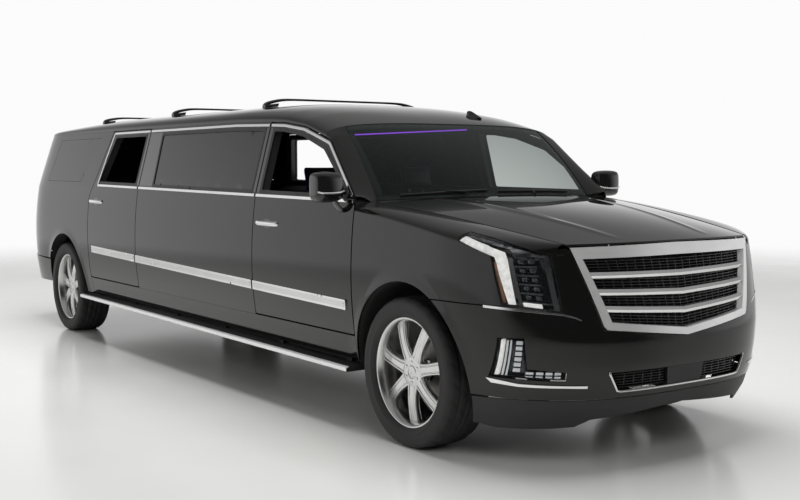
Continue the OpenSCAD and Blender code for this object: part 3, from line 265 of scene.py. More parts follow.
# %% Lamp finishes
def glowing(name, colour, strength):
    made = Finish(name, Base_Color=(*[0.3 * c for c in colour], 1), Roughness=0.3,
                  Emission_Color=(*colour, 1), Emission_Strength=strength)
    flicker = made.noise(40, 2.0)
    return made.drive(Emission_Color=made.colours(flicker, tuple(0.8 * c for c in colour), colour),
                      Base_Color=made.colours(flicker, tuple(0.2 * c for c in colour), colour))


led_white = glowing("white light strip", (1.0, 0.97, 0.92), 0.62)
led_blue = glowing("blue cabin light", (0.10, 0.12, 1.0), 2.5)
led_violet = glowing("violet cabin light", (0.35, 0.08, 0.95), 2.0)
amber = moulded("amber lens", (0.26, 0.10, 0.03), 0.15, 200, 0.0003, 1.3, Coat_Weight=0.8)
red_lens = moulded("red lens", (0.24, 0.006, 0.008), 0.12, 160, 0.0003, 1.6, Coat_Weight=1.0)
print("lamp finishes made")


# %% [markdown]
# ## Surfaces of the body
# Seen from the front, the side bows out to its widest at the waist and leans in above the belt.
# Seen from above, nose and tail are superellipses. Written as functions they can be sampled as
# finely as the reflections need, which is why they are formulas and not stored points.

# %% Side, nose and tail
def side_y(z):
    if z > BELT_Z:
        return BELT_W - SIDE_LEAN * (z - BELT_Z)
    if z > WAIST_Z:
        return HALF_W - BELT_TUCK * ((z - WAIST_Z) / (BELT_Z - WAIST_Z)) ** 2
    return HALF_W - SILL_TUCK * ((WAIST_Z - z) / (WAIST_Z - SILL_Z)) ** 2


class PlanCurve:
    """A quarter of a superellipse, walked by length from the side (0) to the middle (1)."""
    def __init__(self, power):
        turn = np.linspace(0, math.pi / 2, 2000)
        self.x, self.y = np.sin(turn) ** (2 / power), np.cos(turn) ** (2 / power)
        step = np.hypot(np.diff(self.x), np.diff(self.y))
        self.way = np.concatenate([[0], np.cumsum(step)]) / step.sum()

    def at(self, way):
        return float(np.interp(way, self.way, self.x)), float(np.interp(way, self.way, self.y))

    def way_of_y(self, y):
        return float(np.interp(-min(y, 1), -self.y, self.way))

    def way_of_x(self, x):
        return float(np.interp(x, self.x, self.way))


nose_plan, tail_plan = PlanCurve(2.8), PlanCurve(4)
NOSE_LINE = ((190, 300, 420, 520, 650, 800, 950, 1116, 1400),
             [NOSE_X - d for d in (110, 40, 8, 0, 0, 22, 52, 90, 170)])
TAIL_LINE = ((300, 420, 645, 652, 1000, BELT_Z, 1400, 1700, EAVE_Z),
             [TAIL_X + d for d in (20, 0, 0, 42, 60, 100, 120, 230, 275)])
PLAN_LEN = 1500


def nose_reach(z): return float(np.interp(z, *NOSE_LINE)) - NOSE_MID
def tail_reach(z): return TAIL_MID - float(np.interp(z, *TAIL_LINE))


def round_end(s, z, t, middle, way, reach, plan):
    """A point of nose or tail: s runs round the end, 0 at the middle, PLAN_LEN at the side."""
    side, run = (1 if s >= 0 else -1), abs(s)
    if run > PLAN_LEN:
        return middle - way * (run - PLAN_LEN), side * (side_y(z) - t), z
    cx, cy = plan.at(1 - run / PLAN_LEN)
    return middle + way * (reach(z) - t) * cx, side * (side_y(z) - t) * cy, z


def nose_at(s, z, t): return round_end(s, z, t, NOSE_MID, 1, nose_reach, nose_plan)
def tail_at(s, z, t): return round_end(s, z, t, TAIL_MID, -1, tail_reach, tail_plan)
def nose_s(y, z): return math.copysign(PLAN_LEN * (1 - nose_plan.way_of_y(abs(y) / side_y(z))), y)
def tail_s(y, z): return math.copysign(PLAN_LEN * (1 - tail_plan.way_of_y(abs(y) / side_y(z))), y)


def nose_s_at_x(x, z):
    if x < NOSE_MID:
        return PLAN_LEN + NOSE_MID - x
    return PLAN_LEN * (1 - nose_plan.way_of_x((x - NOSE_MID) / nose_reach(z)))


def tail_s_at_x(x, z):
    if x > TAIL_MID:
        return PLAN_LEN + x - TAIL_MID
    return PLAN_LEN * (1 - tail_plan.way_of_x((TAIL_MID - x) / tail_reach(z)))


print("half width at waist", side_y(WAIST_Z), "at belt", side_y(BELT_Z), "at eave",
      round(side_y(EAVE_Z)))

# %% [markdown]
# ## Panels
# `panel` is the workhorse. It fills a flat outline with a regular grid, joins grid and outline
# with a constrained Delaunay triangulation, and lays the result on a surface twice: once outside
# and once at the sheet's depth. A small bevel rounds the cut edges, so that each panel catches
# a thin line of light along its gaps, as pressed sheet does.

# %% Outline helpers
def rounded(points, radius):
    """Replaces each corner by a short curve."""
    made = []
    n = len(points)
    for i in range(n):
        before, corner, after = (Vector(points[(i + k) % n]) for k in (-1, 0, 1))
        a, b = before - corner, after - corner
        cut_a = min(radius, a.length * 0.45)
        cut_b = min(radius, b.length * 0.45)
        p, q = corner + a.normalized() * cut_a, corner + b.normalized() * cut_b
        for k in range(5):
            f = k / 4
            made.append(tuple(p * (1 - f) ** 2 + corner * 2 * f * (1 - f) + q * f * f))
    return made


def stepped(points, step, closed=True):
    """Adds points so that no edge is longer than a step."""
    made = []
    n = len(points)
    for i in range(n if closed else n - 1):
        a, b = np.array(points[i], float), np.array(points[(i + 1) % n], float)
        parts = max(1, math.ceil(np.linalg.norm(b - a) / step))
        made += [tuple(a + (b - a) * k / parts) for k in range(parts)]
    return made if closed else made + [tuple(points[-1])]


def ribbon(line, low, high):
    """The outline of a band beside an open line, between two offsets to its left."""
    pts = [Vector(p) for p in line]
    sides = []
    for i, p in enumerate(pts):
        before = (p - pts[i - 1]).normalized() if i else (pts[1] - p).normalized()
        after = (pts[i + 1] - p).normalized() if i + 1 < len(pts) else before
        way = (before + after).normalized()
        square = Vector((-way.y, way.x)) / max(0.5, way.dot(after))
        sides.append((p + square * low, p + square * high))
    return [tuple(a) for a, _ in sides] + [tuple(b) for _, b in reversed(sides)]


def within(points, loops):
    """Even-odd test of points against all the loops together."""
    px, py = points[:, 0], points[:, 1]
    odd = np.zeros(len(points), bool)
    for loop in loops:
        ring = np.array(loop)
        for (x0, y0), (x1, y1) in zip(ring, np.roll(ring, -1, axis=0)):
            if y0 != y1:
                cross = (x1 - x0) * (py - y0) / (y1 - y0) + x0
                odd ^= ((py >= min(y0, y1)) & (py < max(y0, y1)) & (px < cross))
    return odd


print("a square with rounded corners has",
      len(rounded([(0, 0), (9, 0), (9, 9), (0, 9)], 2)), "points")


# %% [markdown]
# Every mesh becomes a piece in one place, which gives it its finish and the body it rides on, and
# hides the CAD node it stands for. A narrow bevel softens edges, because a sharp edge catches no
# light.

# %% Pieces and their materials
made_pieces = []


def finished(mesh, name, finish, body, stands_for=(), smooth=True):
    piece = bpy.data.objects.new(name, mesh)
    bpy.context.scene.collection.objects.link(piece)
    for each in finish if isinstance(finish, (list, tuple)) else [finish]:
        mesh.materials.append(each.mat)
    if smooth:
        mesh.polygons.foreach_set("use_smooth", [True] * len(mesh.polygons))
    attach(piece, body)
    if stands_for:
        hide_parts(*stands_for)
    made_pieces.append(piece)
    return piece


def softened(piece, width, angle=40, segments=2):
    bevel = piece.modifiers.new("soft edges", "BEVEL")
    bevel.width, bevel.segments = width * MM, segments
    bevel.limit_method, bevel.angle_limit = "ANGLE", math.radians(angle)
    bevel.use_clamp_overlap, bevel.harden_normals = True, True
    return piece


def mesh_of(name, build):
    form = bmesh.new()
    build(form)
    bmesh.ops.recalc_face_normals(form, faces=form.faces)
    mesh = bpy.data.meshes.new(name)
    form.to_mesh(mesh)
    form.free()
    return mesh


# %% [markdown]
# The outline is filled with even triangles and each point is bent onto the body, once for the
# outer face and once for the inner one. A plain grid would leave steps along a slanted window.

# %% The panel itself
def panel(name, rim, at, finish, body="root", holes=(), deep=(0, 6), step=30, edge=2.0,
          stands_for=()):
    loops = [stepped(loop, step * 0.7) for loop in (rim, *holes)]
    flat = [p for loop in loops for p in loop]
    edges, first = [], 0
    for loop in loops:
        edges += [(first + i, first + (i + 1) % len(loop)) for i in range(len(loop))]
        first += len(loop)
    low, high = np.min(rim, axis=0), np.max(rim, axis=0)
    us, vs = (np.linspace(low[k], high[k], max(3, int((high[k] - low[k]) / step) + 1))
              for k in (0, 1))
    grid = np.array([(u, v) for u in us for v in vs])
    near = kdtree.KDTree(len(flat))
    for i, p in enumerate(flat):
        near.insert((*p, 0), i)
    near.balance()
    clear = np.array([near.find((*p, 0))[2] > step * 0.52 for p in grid])
    inner = [tuple(p) for p in grid[within(grid, loops) & clear]]
    cut = geometry.delaunay_2d_cdt([Vector(p) for p in flat + inner], edges, [], 0, 1e-5)
    verts = [(v.x, v.y) for v in cut[0]]
    centres = np.array([np.mean([verts[i] for i in face], axis=0) for face in cut[2]])
    faces = [face for face, keep in zip(cut[2], within(centres, loops)) if keep]

    def build(form):
        depth = deep if callable(deep) else (lambda u, v: deep)
        outer = [form.verts.new([c * MM for c in at(u, v, depth(u, v)[0])]) for u, v in verts]
        inner_side = [form.verts.new([c * MM for c in at(u, v, depth(u, v)[1])])
                      for u, v in verts]
        count = {}
        for face in faces:
            form.faces.new([outer[i] for i in face])
            form.faces.new([inner_side[i] for i in reversed(face)])
            for a, b in zip(face, face[1:] + face[:1]):
                count[(a, b)] = True
        for a, b in count:
            if (b, a) not in count:
                form.faces.new([outer[b], outer[a], inner_side[a], inner_side[b]])
        loose = [v for v in form.verts if not v.link_faces]
        bmesh.ops.delete(form, geom=loose, context="VERTS")

    piece = finished(mesh_of(name, build), name, finish, body, stands_for)
    return softened(piece, edge) if edge else piece


# %% [markdown]
# Some surfaces are plain grids, such as the roof. `sheet_grid` samples a function of two values
# and gives it thickness. `lathe` turns a profile, and `sweep` drags one along a path; between
# them they make wheels, bars and mouldings.

# %% Grids, turned and swept shapes
def sheet_grid(name, at, rows, cols, depth, finish, body="root", stands_for=(), edge=2.0):
    def build(form):
        both = []
        for t in (0, depth):
            both.append([[form.verts.new([c * MM for c in at(i / rows, j / cols, t)])
                          for j in range(cols + 1)] for i in range(rows + 1)])
        for skin in both:
            for i in range(rows):
                for j in range(cols):
                    form.faces.new([skin[i][j], skin[i][j + 1], skin[i + 1][j + 1],
                                    skin[i + 1][j]])
        a, b = both
        ring = ([(0, j) for j in range(cols)] + [(i, cols) for i in range(rows)]
                + [(rows, j) for j in range(cols, 0, -1)] + [(i, 0) for i in range(rows, 0, -1)])
        for (i, j), (k, m) in zip(ring, ring[1:] + ring[:1]):
            form.faces.new([a[i][j], a[k][m], b[k][m], b[i][j]])
    piece = finished(mesh_of(name, build), name, finish, body, stands_for)
    return softened(piece, edge) if edge else piece


def lathe(name, profile, centre, finish, body, turns=96, stands_for=(), side=1, lift=None):
    """Turns a profile of (radius, out) about the wheel's axle; out is away from the car."""
    def build(form):
        rings = []
        for i in range(turns):
            a = 2 * math.pi * i / turns
            row = []
            for k, (r, out) in enumerate(profile):
                r = r + (lift(i, k) if lift else 0)
                row.append(form.verts.new(((centre[0] + r * math.cos(a)) * MM,
                                           (centre[1] + side * out) * MM,
                                           (centre[2] + r * math.sin(a)) * MM)))
            rings.append(row)
        n = len(profile)
        for i in range(turns):
            here, after = rings[i], rings[(i + 1) % turns]
            for k in range(n):
                m = (k + 1) % n
                form.faces.new([here[k], here[m], after[m], after[k]])
    return finished(mesh_of(name, build), name, finish, body, stands_for)


def sweep(name, path, profile, finish, body="root", closed=False, stands_for=(), up=(0, 0, 1),
          edge=0):
    """Drags a closed profile of (across, up) along points in millimetres."""
    pts = [Vector(p) for p in path]

    def build(form):
        rings = []
        n = len(pts)
        for i, p in enumerate(pts):
            before = pts[i - 1] if i or closed else p
            after = pts[(i + 1) % n] if i + 1 < n or closed else p
            way = (after - before).normalized()
            across = way.cross(Vector(up)).normalized()
            lift = across.cross(way)
            rings.append([form.verts.new((p + across * a + lift * b) * MM) for a, b in profile])
        m = len(profile)
        for i in range(n if closed else n - 1):
            here, after = rings[i], rings[(i + 1) % n]
            for k in range(m):
                form.faces.new([here[k], here[(k + 1) % m], after[(k + 1) % m], after[k]])
        if not closed:
            form.faces.new(rings[0])
            form.faces.new(list(reversed(rings[-1])))
    piece = finished(mesh_of(name, build), name, finish, body, stands_for)
    return softened(piece, edge) if edge else piece


def oval(across, up, points=12):
    return [(across * math.cos(2 * math.pi * k / points), up * math.sin(2 * math.pi * k / points))
            for k in range(points)]


# %% [markdown]
# A loft joins a row of closed rings. With a subdivision modifier a few coarse rings become a
# soft form such as a mirror head, and with a bevel two rings become a block.

# %% Lofts and blocks
def loft(name, rings, finish, body="root", stands_for=(), smooth=0, edge=0):
    def build(form):
        rows = [[form.verts.new([c * MM for c in p]) for p in ring] for ring in rings]
        n = len(rings[0])
        for a, b in zip(rows, rows[1:]):
            for k in range(n):
                form.faces.new([a[k], a[(k + 1) % n], b[(k + 1) % n], b[k]])
        form.faces.new(rows[0])
        form.faces.new(list(reversed(rows[-1])))
    piece = finished(mesh_of(name, build), name, finish, body, stands_for)
    if smooth:
        more = piece.modifiers.new("smooth", "SUBSURF")
        more.levels = more.render_levels = smooth
    return softened(piece, edge) if edge else piece


def block(name, low, high, finish, body="root", edge=4, stands_for=()):
    (x0, y0, z0), (x1, y1, z1) = low, high
    rings = [[(x0, y0, z), (x1, y0, z), (x1, y1, z), (x0, y1, z)] for z in (z0, z1)]
    return loft(name, rings, finish, body, stands_for, 0, edge)


print("shape helpers ready")

# %% [markdown]
# ## Doors and fixed sides
# The side of the car is one sheet cut into four doors, the long panel between them, fenders and
# quarters. The outlines below are those of the CAD doors, with the corners rounded.

# %% Lines of the side
TOP_LINE = ((-9000, BAR_FRONT_X, HINGE_X - 1185, HINGE_X - 1000, HINGE_X - 735, HINGE_X - 403,
             HINGE_X),
            (EAVE_Z - 8, EAVE_Z - 8, EAVE_Z - 20, EAVE_Z - 28, EAVE_Z - 60, EAVE_Z - 150,
             BELT_Z + 10))


def frame_top(x): return float(np.interp(x, *TOP_LINE))
def sash_z(x): return BELT_Z + 20 + 0.009 * (HINGE_X - x)


def flare(x, z):
    """The wheel arches roll out a little at their edge."""
    push = 0
    for axle in (FRONT_AXLE_X, REAR_AXLE_X):
        r = math.hypot(x - axle, z - AXLE_Z)
        push += 7 * math.exp(-((r - ARCH_R) / 32) ** 2)
    return push


def side_at(side):
    return lambda x, z, t: (x, side * (side_y(z) - t + flare(x, z)), z)


def front_door_rim(e):
    return ([(FRONT_DOOR_END + e, DOOR_LOW_Z + e), (HINGE_X - e, DOOR_LOW_Z + e),
             (HINGE_X - e, BELT_Z + 10 - e)]
            + [(HINGE_X - d - e / 2, frame_top(HINGE_X - d) - 1.1 * e) for d in (403, 735, 1000)]
            + [(FRONT_DOOR_END + e, frame_top(FRONT_DOOR_END) - e)])


front_window = [(FRONT_DOOR_END + 60, sash_z(FRONT_DOOR_END)), (HINGE_X - 90, sash_z(HINGE_X)),
                (HINGE_X - 90, BELT_Z + 38), (HINGE_X - 450, frame_top(HINGE_X - 450) - 58),
                (HINGE_X - 735, frame_top(HINGE_X - 735) - 50),
                (HINGE_X - 1000, frame_top(HINGE_X - 1000) - 45),
                (FRONT_DOOR_END + 60, frame_top(FRONT_DOOR_END + 60) - 45)]
SLANT = 265


def rear_door_rim(e):
    return [(REAR_DOOR_END + e, DOOR_LOW_Z + e), (REAR_DOOR_START - e, DOOR_LOW_Z + e),
            (REAR_DOOR_START - e, EAVE_Z - 8 - e), (REAR_DOOR_END + SLANT + e, EAVE_Z - 8 - e),
            (REAR_DOOR_END + 60 + e, BELT_Z + 20), (REAR_DOOR_END + e, BELT_Z - 60)]


rear_window = [(REAR_DOOR_END + 175, sash_z(REAR_DOOR_END)),
               (REAR_DOOR_START - 60, sash_z(REAR_DOOR_START)),
               (REAR_DOOR_START - 60, EAVE_Z - 53), (REAR_DOOR_END + SLANT + 90, EAVE_Z - 53)]
STRETCH_X0, STRETCH_X1 = REAR_DOOR_START + GAP, FRONT_DOOR_END - GAP
PANE_FRONT, PANE_REAR = STRETCH_X1 - 60, STRETCH_X0 + 275
SILL_TOP = DOOR_LOW_Z - GAP
stretch_rim = [(STRETCH_X0, SILL_TOP), (STRETCH_X1, SILL_TOP),
               (STRETCH_X1, frame_top(STRETCH_X1) + 8), (BAR_FRONT_X, EAVE_Z),
               (STRETCH_X0, EAVE_Z)]
stretch_window = [(PANE_REAR, sash_z(PANE_REAR)), (PANE_FRONT, sash_z(PANE_FRONT)),
                  (PANE_FRONT, frame_top(PANE_FRONT) - 45), (BAR_FRONT_X, EAVE_Z - 53),
                  (PANE_REAR - 28, EAVE_Z - 53)]
print("stretch panel is", STRETCH_X1 - STRETCH_X0, "mm long")


# %% [markdown]
# A door is a painted skin over a thick trimmed core, with a rubber seal round its window. The
# stretch between the doors is built the same way, but it stays with the body.

# %% Door skins, cores and the stretch panel
def core_depth(x, z):
    share = min(1, max(0, (BELT_Z + 15 - z) / 50))
    return 8, 60 + 70 * share


def grown(points, e):
    middle = Vector(np.mean(points, axis=0))
    pts = [Vector(p) for p in points]
    made = []
    for i, p in enumerate(pts):
        a, b = (p - pts[i - 1]).normalized(), (pts[(i + 1) % len(pts)] - p).normalized()
        square = Vector((a.y + b.y, -a.x - b.x)).normalized()
        if square.dot(p - middle) < 0:
            square = -square
        made.append(tuple(p + square * e / max(0.5, abs(square.dot(Vector((a.y, -a.x)))))))
    return made


def window_seal(name, window, at, body):
    panel(name, rounded(grown(window, 15), 22), at, seal, body,
          holes=[rounded(grown(window, -7), 16)], deep=(-2.5, 12), step=40, edge=1.5)


def door(name, rim, window, side, stands_for):
    at = side_at(side)
    hole = rounded(window, 22)
    panel(f"{name}_skin", rounded(rim(0), 12), at, paint, name, [hole], (0, 8), 27, 2.5,
          stands_for)
    panel(f"{name}_trim", rounded(rim(20), 30), at, dash_leather, name, [hole], core_depth, 34,
          9.0)
    window_seal(f"{name}_seal", window, at, name)


for side, word in ((1, "left"), (-1, "right")):
    door(f"front_door_{word}", front_door_rim, front_window, side, [f"front_door_{word}"])
    door(f"rear_door_{word}", rear_door_rim, rear_window, side, [f"rear_door_{word}"])
    at = side_at(side)
    hole = rounded(stretch_window, 22)
    panel(f"stretch_skin_{word}", rounded(stretch_rim, 5), at, paint, "root", [hole], (0, 6), 27,
          2.5, ["stretch_panels"] if side > 0 else ())
    inner = [(STRETCH_X0 + 18, SILL_TOP), (STRETCH_X1 - 20, SILL_TOP),
             (STRETCH_X1 - 20, frame_top(STRETCH_X1) + 4), (BAR_FRONT_X, EAVE_Z - 2),
             (STRETCH_X0 + 18, EAVE_Z - 2)]
    panel(f"stretch_trim_{word}", rounded(inner, 8), at, dash_leather, "root", [hole],
          lambda x, z: (6, 60 + 50 * min(1, max(0, (BELT_Z + 15 - z) / 50))), 40, 6.0)
    window_seal(f"stretch_seal_{word}", stretch_window, at, "root")
    panel(f"stretch_glass_{word}", rounded(grown(stretch_window, 3), 16), at, dark_glass, "root",
          (), (3, 8), 60, 0.8)
print("sides:", len(made_pieces), "pieces")

# %% [markdown]
# ## Fenders and quarters
# A fender is the side sheet that turns over a rounded shoulder into the hood's side gap. The same
# outline method works if height is continued past the shoulder line: beyond it the surface
# function follows a quarter turn instead of the side.

# %% Fenders
def crest(x): return BELT_Z - 10 - 169 * (max(0, x - HINGE_X) / 1300) ** 1.3


COWL_Z = BELT_Z + 13
HOOD_REAR = HINGE_X + 150
HOOD_FRONT_Z = COWL_Z - 207
DROP = 55


def hood_edge_y(s): return 850 + (662 - 850) * max(0, s) ** 1.6


def s_of(x): return (x - HOOD_REAR + 70) / (NOSE_X - 180 - HOOD_REAR + 70)


def wall_y(x, z):
    share = max(0, x - NOSE_MID) / nose_reach(z)
    return side_y(z) * max(0, 1 - share ** 2.8) ** (1 / 2.8)


def rolled(x, y0, v, t):
    """Width and height past the crease, where the sheet turns over to the hood's gap."""
    low = crest(x) - DROP
    turn = min(1, (v - low) / 100) * math.pi / 2
    y1 = hood_edge_y(s_of(x)) + GAP
    return y1 + (y0 - t - y1) * math.cos(turn) ** 0.9, low + (DROP - t) * math.sin(turn)


def fender_at(side):
    """Heights are counted from the crease, so that the mesh rows run along it."""
    def at(x, w, t):
        low = crest(x) - DROP
        v = low + w
        if w <= 0:
            return x, side * (wall_y(x, v) - t + flare(x, v)), v
        y, z = rolled(x, wall_y(x, low), v, t)
        return x, side * y, z
    return at


def from_crease(points): return [(x, v - crest(x) + DROP) for x, v in points]


def arch(axle, z_from, z_to, r=ARCH_R, count=40):
    """Points of a wheel arch from its rear foot to its front foot."""
    a0, a1 = math.pi - math.asin((z_from - AXLE_Z) / r), math.asin((z_to - AXLE_Z) / r)
    return [(axle + r * math.cos(a0 + (a1 - a0) * k / count),
             AXLE_Z + r * math.sin(a0 + (a1 - a0) * k / count)) for k in range(count + 1)]


LAMP_LOW = WAIST_Z - 55
LAMP_TIP = (FRONT_AXLE_X + 440, WAIST_Z + 249)
LAMP_BEND = (FRONT_AXLE_X + 633, WAIST_Z + 184)
LAMP_FOOT = (FRONT_AXLE_X + 700, LAMP_LOW)
FENDER_X0 = HINGE_X + GAP
FENDER_X1 = FRONT_AXLE_X + 850
lamp_top = [(LAMP_TIP[0], LAMP_TIP[1]), (3296, 1183), (3430, 1160), (3510, 1138), (3600, 1106)]
lamp_edge = [(LAMP_FOOT[0] - 4, LAMP_LOW), (LAMP_BEND[0] - 4, LAMP_BEND[1])]
lamp_edge += [(x - 3, v + 3) for x, v in lamp_top] + [(FENDER_X1, crest(FENDER_X1) - DROP - 3)]
fender_rim = from_crease([(FENDER_X0, SILL_Z)] + arch(FRONT_AXLE_X, SILL_Z, LAMP_LOW)
                         + stepped(lamp_edge, 30, False))
fender_rim += [(x, 100) for x in np.linspace(FENDER_X1, FENDER_X0, 60)]
for side, word in ((1, "left"), (-1, "right")):
    panel(f"fender_{word}", fender_rim, fender_at(side), paint, step=14,
          stands_for=["front_fenders"] if side > 0 else ())
print("fenders made")

# %% [markdown]
# A rear quarter turns from the side into the tail. Its outline is measured along that curve, so
# one panel can go round the corner and leave room for the lamp.

# %% Rear quarters
gate_half = 770
gate_top_half = gate_half - SIDE_LEAN * (EAVE_Z - BELT_Z) * 0.9


def gate_edge(z):
    return float(np.interp(z, (BELT_Z, EAVE_Z + 20), (gate_half, gate_top_half)))


quarter_pane = [(REAR_AXLE_X - 550, sash_z(REAR_AXLE_X) - 6),
                (REAR_AXLE_X + 359, sash_z(REAR_AXLE_X) - 6),
                (REAR_AXLE_X + 640, EAVE_Z - 53), (REAR_AXLE_X - 420, EAVE_Z - 53)]
QUARTER_FRONT = REAR_DOOR_END - GAP
LAMP_W = 84
TAIL_LAMP_TOP = EAVE_Z - 40
lamp_out = [(gate_half + GAP + LAMP_W, 930), (gate_half + GAP + LAMP_W, BELT_Z),
            (gate_edge(TAIL_LAMP_TOP) + GAP + LAMP_W, TAIL_LAMP_TOP)]
lamp_in = [(gate_edge(z) + GAP + 4, z) for z in (TAIL_LAMP_TOP, BELT_Z, 930)]


def tail_side(side):
    def at(s, z, t):
        x, y, z = tail_at(s, z, t)
        return x, side * (y + flare(x, z)), z
    return at


def to_tail(points): return [(tail_s(y, z), z) for y, z in points]
def side_to_tail(points): return [(tail_s_at_x(x, z), z) for x, z in points]


front_line = stepped([(QUARTER_FRONT, SILL_Z), (QUARTER_FRONT, BELT_Z - 60),
                      (QUARTER_FRONT + 60, BELT_Z + 20), (QUARTER_FRONT + SLANT, EAVE_Z)], 40,
                     False)
gate_line = stepped([(gate_half + GAP, 930), (gate_half + GAP, 642)], 40, False)
quarter_rim = (side_to_tail(front_line)
               + to_tail(stepped([(800, EAVE_Z), (gate_edge(EAVE_Z) + GAP, EAVE_Z)], 40, False))
               + to_tail(stepped([lamp_in[0], lamp_out[2], lamp_out[1], lamp_out[0], lamp_in[2]],
                                 30, False))
               + to_tail(gate_line)
               + side_to_tail(stepped([(REAR_AXLE_X - 560, 642), (REAR_AXLE_X - 428, 642)], 40,
                                      False))
               + side_to_tail(arch(REAR_AXLE_X, 642, SILL_Z)))
for side, word in ((1, "left"), (-1, "right")):
    pane = side_to_tail(rounded(stepped(quarter_pane, 200), 1))
    panel(f"quarter_{word}", quarter_rim, tail_side(side), paint, holes=[pane], step=27,
          stands_for=["quarter_panels"] if side > 0 else ())
    panel(f"quarter_glass_{word}", side_to_tail(stepped(grown(quarter_pane, -2), 60)),
          tail_side(side), dark_glass, deep=(1, 6), step=40, edge=0.8,
          stands_for=["side_glass"] if side > 0 else ())
print("quarters made")

# %% [markdown]
# ## Roof, hood and windscreen
# These are grids: the roof's section is a superellipse between the two eaves, the hood rises to
# a soft crest at each side, and the windscreen is stretched between the cowl and the header.

# %% Roof
def eave(x): return frame_top(x) + 8


def crown(x):
    d, r = x - BAR_FRONT_X, REAR_AXLE_X + 1040 - x
    if d > 0:
        return ROOF_Z - 169 * (d / 1276) ** 2.4
    return ROOF_Z - (82 * (r / 2000) ** 2 if r > 0 else 0)


def eave_y(x):
    z, d = eave(x), TAIL_MID - x
    return side_y(z) * ((1 - (d / tail_reach(z)) ** 4) ** 0.25 if d > 0 else 1)


def roof_at(x, t, drop):
    return Vector((x, t * (eave_y(x) - drop * 1.2),
                   eave(x) + (crown(x) - drop - eave(x)) * (1 - abs(t) ** 2.6) ** (1 / 2.6)))


HEADER_X, SWEEP = HINGE_X - 409, 50


def header_at(t): return HEADER_X - SWEEP * t * t


def roof_grid(u, v, drop):
    t = math.sin(math.pi * (v - 0.5))
    return roof_at(ROOF_END + (header_at(t) - ROOF_END) * u, t, drop)


sheet_grid("roof_skin", roof_grid, 150, 60, 14, paint, stands_for=["roof"])
sheet_grid("roof_lining", lambda u, v, t: roof_grid(0.02 + 0.955 * u, 0.04 + 0.92 * v, 20 + t),
           90, 40, 12, headlining)
print("roof length", HEADER_X - ROOF_END, "mm")

# %% [markdown]
# A hood is a pressed sheet with an inner one under it. Its grid runs from the cowl to the nose,
# rises to a crest at each side and carries two long creases.

# %% Hood
def hood_mid(x): return COWL_Z + 2 - 203 * (max(0, x - HINGE_X - 65) / 1400) ** 1.8


def nose_edge_x(y, z):
    return NOSE_MID + nose_reach(z) * (1 - (abs(y) / side_y(z)) ** 2.8) ** (1 / 2.8)


def hood_at(s, t, d):
    y = t * hood_edge_y(s)
    x = (HOOD_REAR - 70 * t * t) * (1 - s) + (nose_edge_x(y, HOOD_FRONT_Z) - 4) * s
    lift = abs(t) ** 2.2
    return x, y, hood_mid(x) * (1 - lift) + crest(x) * lift - d


def hood_grid(u, v, d):
    s, t = u, 2 * v - 1
    x, y, z = hood_at(s, t, d)
    # two long creases, which fade out towards both ends
    fold = math.exp(-((abs(t) - 0.62 + 0.14 * s) / 0.035) ** 2)
    return x, y, z + (0 if d else 5 * fold * math.sin(math.pi * min(1, s * 1.05)) ** 0.5)


sheet_grid("hood_skin", hood_grid, 70, 120, 9, paint, "hood", ["hood"], 3.0)
sheet_grid("hood_under", lambda u, v, d: hood_at(0.04 + 0.9 * u, (2 * v - 1) * 0.93, 10 + d), 30,
           40, 6, liner, "hood")
print("hood made")

# %% [markdown]
# The screen is one bulged pane between the cowl and the roof. The black rim that hides the glue
# is made of thin strips behind the glass, and a painted pillar stands at each side.

# %% Windscreen, its pillars and the black glass edge
def screen_low(t): return Vector((HINGE_X + 88 - 98 * t * t, 835 * t, COWL_Z - 18 * t * t))


def screen_at(s, t, d):
    r = math.sin(math.radians(60 * t))
    high = roof_at(header_at(r), r, 0) + Vector((0.3, 0, -2))
    bulge = 60 * s * (1 - s)
    return screen_low(t) * (1 - s) + high * s + Vector((bulge, 0, bulge - d))


sheet_grid("windscreen_glass", lambda u, v, d: screen_at(u, 2 * v - 1, d), 24, 40, 5,
           clear_glass, stands_for=["windscreen"], edge=0)


def screen_band(name, u0, u1, v0, v1, rows, cols):
    sheet_grid(name, lambda u, v, d: screen_at(u0 + (u1 - u0) * u, 2 * (v0 + (v1 - v0) * v) - 1,
                                               5.5 + d), rows, cols, 1.5, piano, edge=0)


screen_band("screen_edge_top", 0.94, 1, 0, 1, 3, 40)
screen_band("screen_edge_low", 0, 0.06, 0, 1, 3, 40)
screen_band("screen_edge_left", 0.06, 0.94, 0.965, 1, 20, 3)
screen_band("screen_edge_right", 0.06, 0.94, 0, 0.035, 20, 3)


def pillar_at(side):
    def at(s, c, d):
        x = (HINGE_X + GAP) * (1 - s) + (HEADER_X - SWEEP) * s
        outer = Vector((x, side_y(eave(x)), eave(x)))
        inner = screen_at(s, 1, 0) + Vector((0, 0.3, 0))
        r = math.sin(math.radians(90 - 30 * c))
        end_outer = Vector((HEADER_X - SWEEP, side_y(eave(HEADER_X - SWEEP)),
                            eave(HEADER_X - SWEEP)))
        end = end_outer * (1 - c) + screen_at(1, 1, 0) * c
        top = roof_at(header_at(r), r, 0) + Vector((0.3, 0, 0))
        arc = 24 * c * (1 - c) * (1 - s)
        p = outer * (1 - c) + inner * c + (top - end) * s + Vector((0, arc, arc))
        p -= Vector((0, d * (1 - c), d * c))
        return p.x, side * p.y, p.z
    return at


for side, word in ((1, "left"), (-1, "right")):
    sheet_grid(f"screen_pillar_{word}", pillar_at(side), 40, 8, 28, paint)
print("windscreen made")

# %% [markdown]
# ## Front bumper and air dam
# The whole nose below the lamps is one moulding, with holes for the grille, the lamps and the
# intake. Its outline is drawn as seen from the front and is then turned into steps round the
# nose, so one panel can wrap from wheel arch to wheel arch.

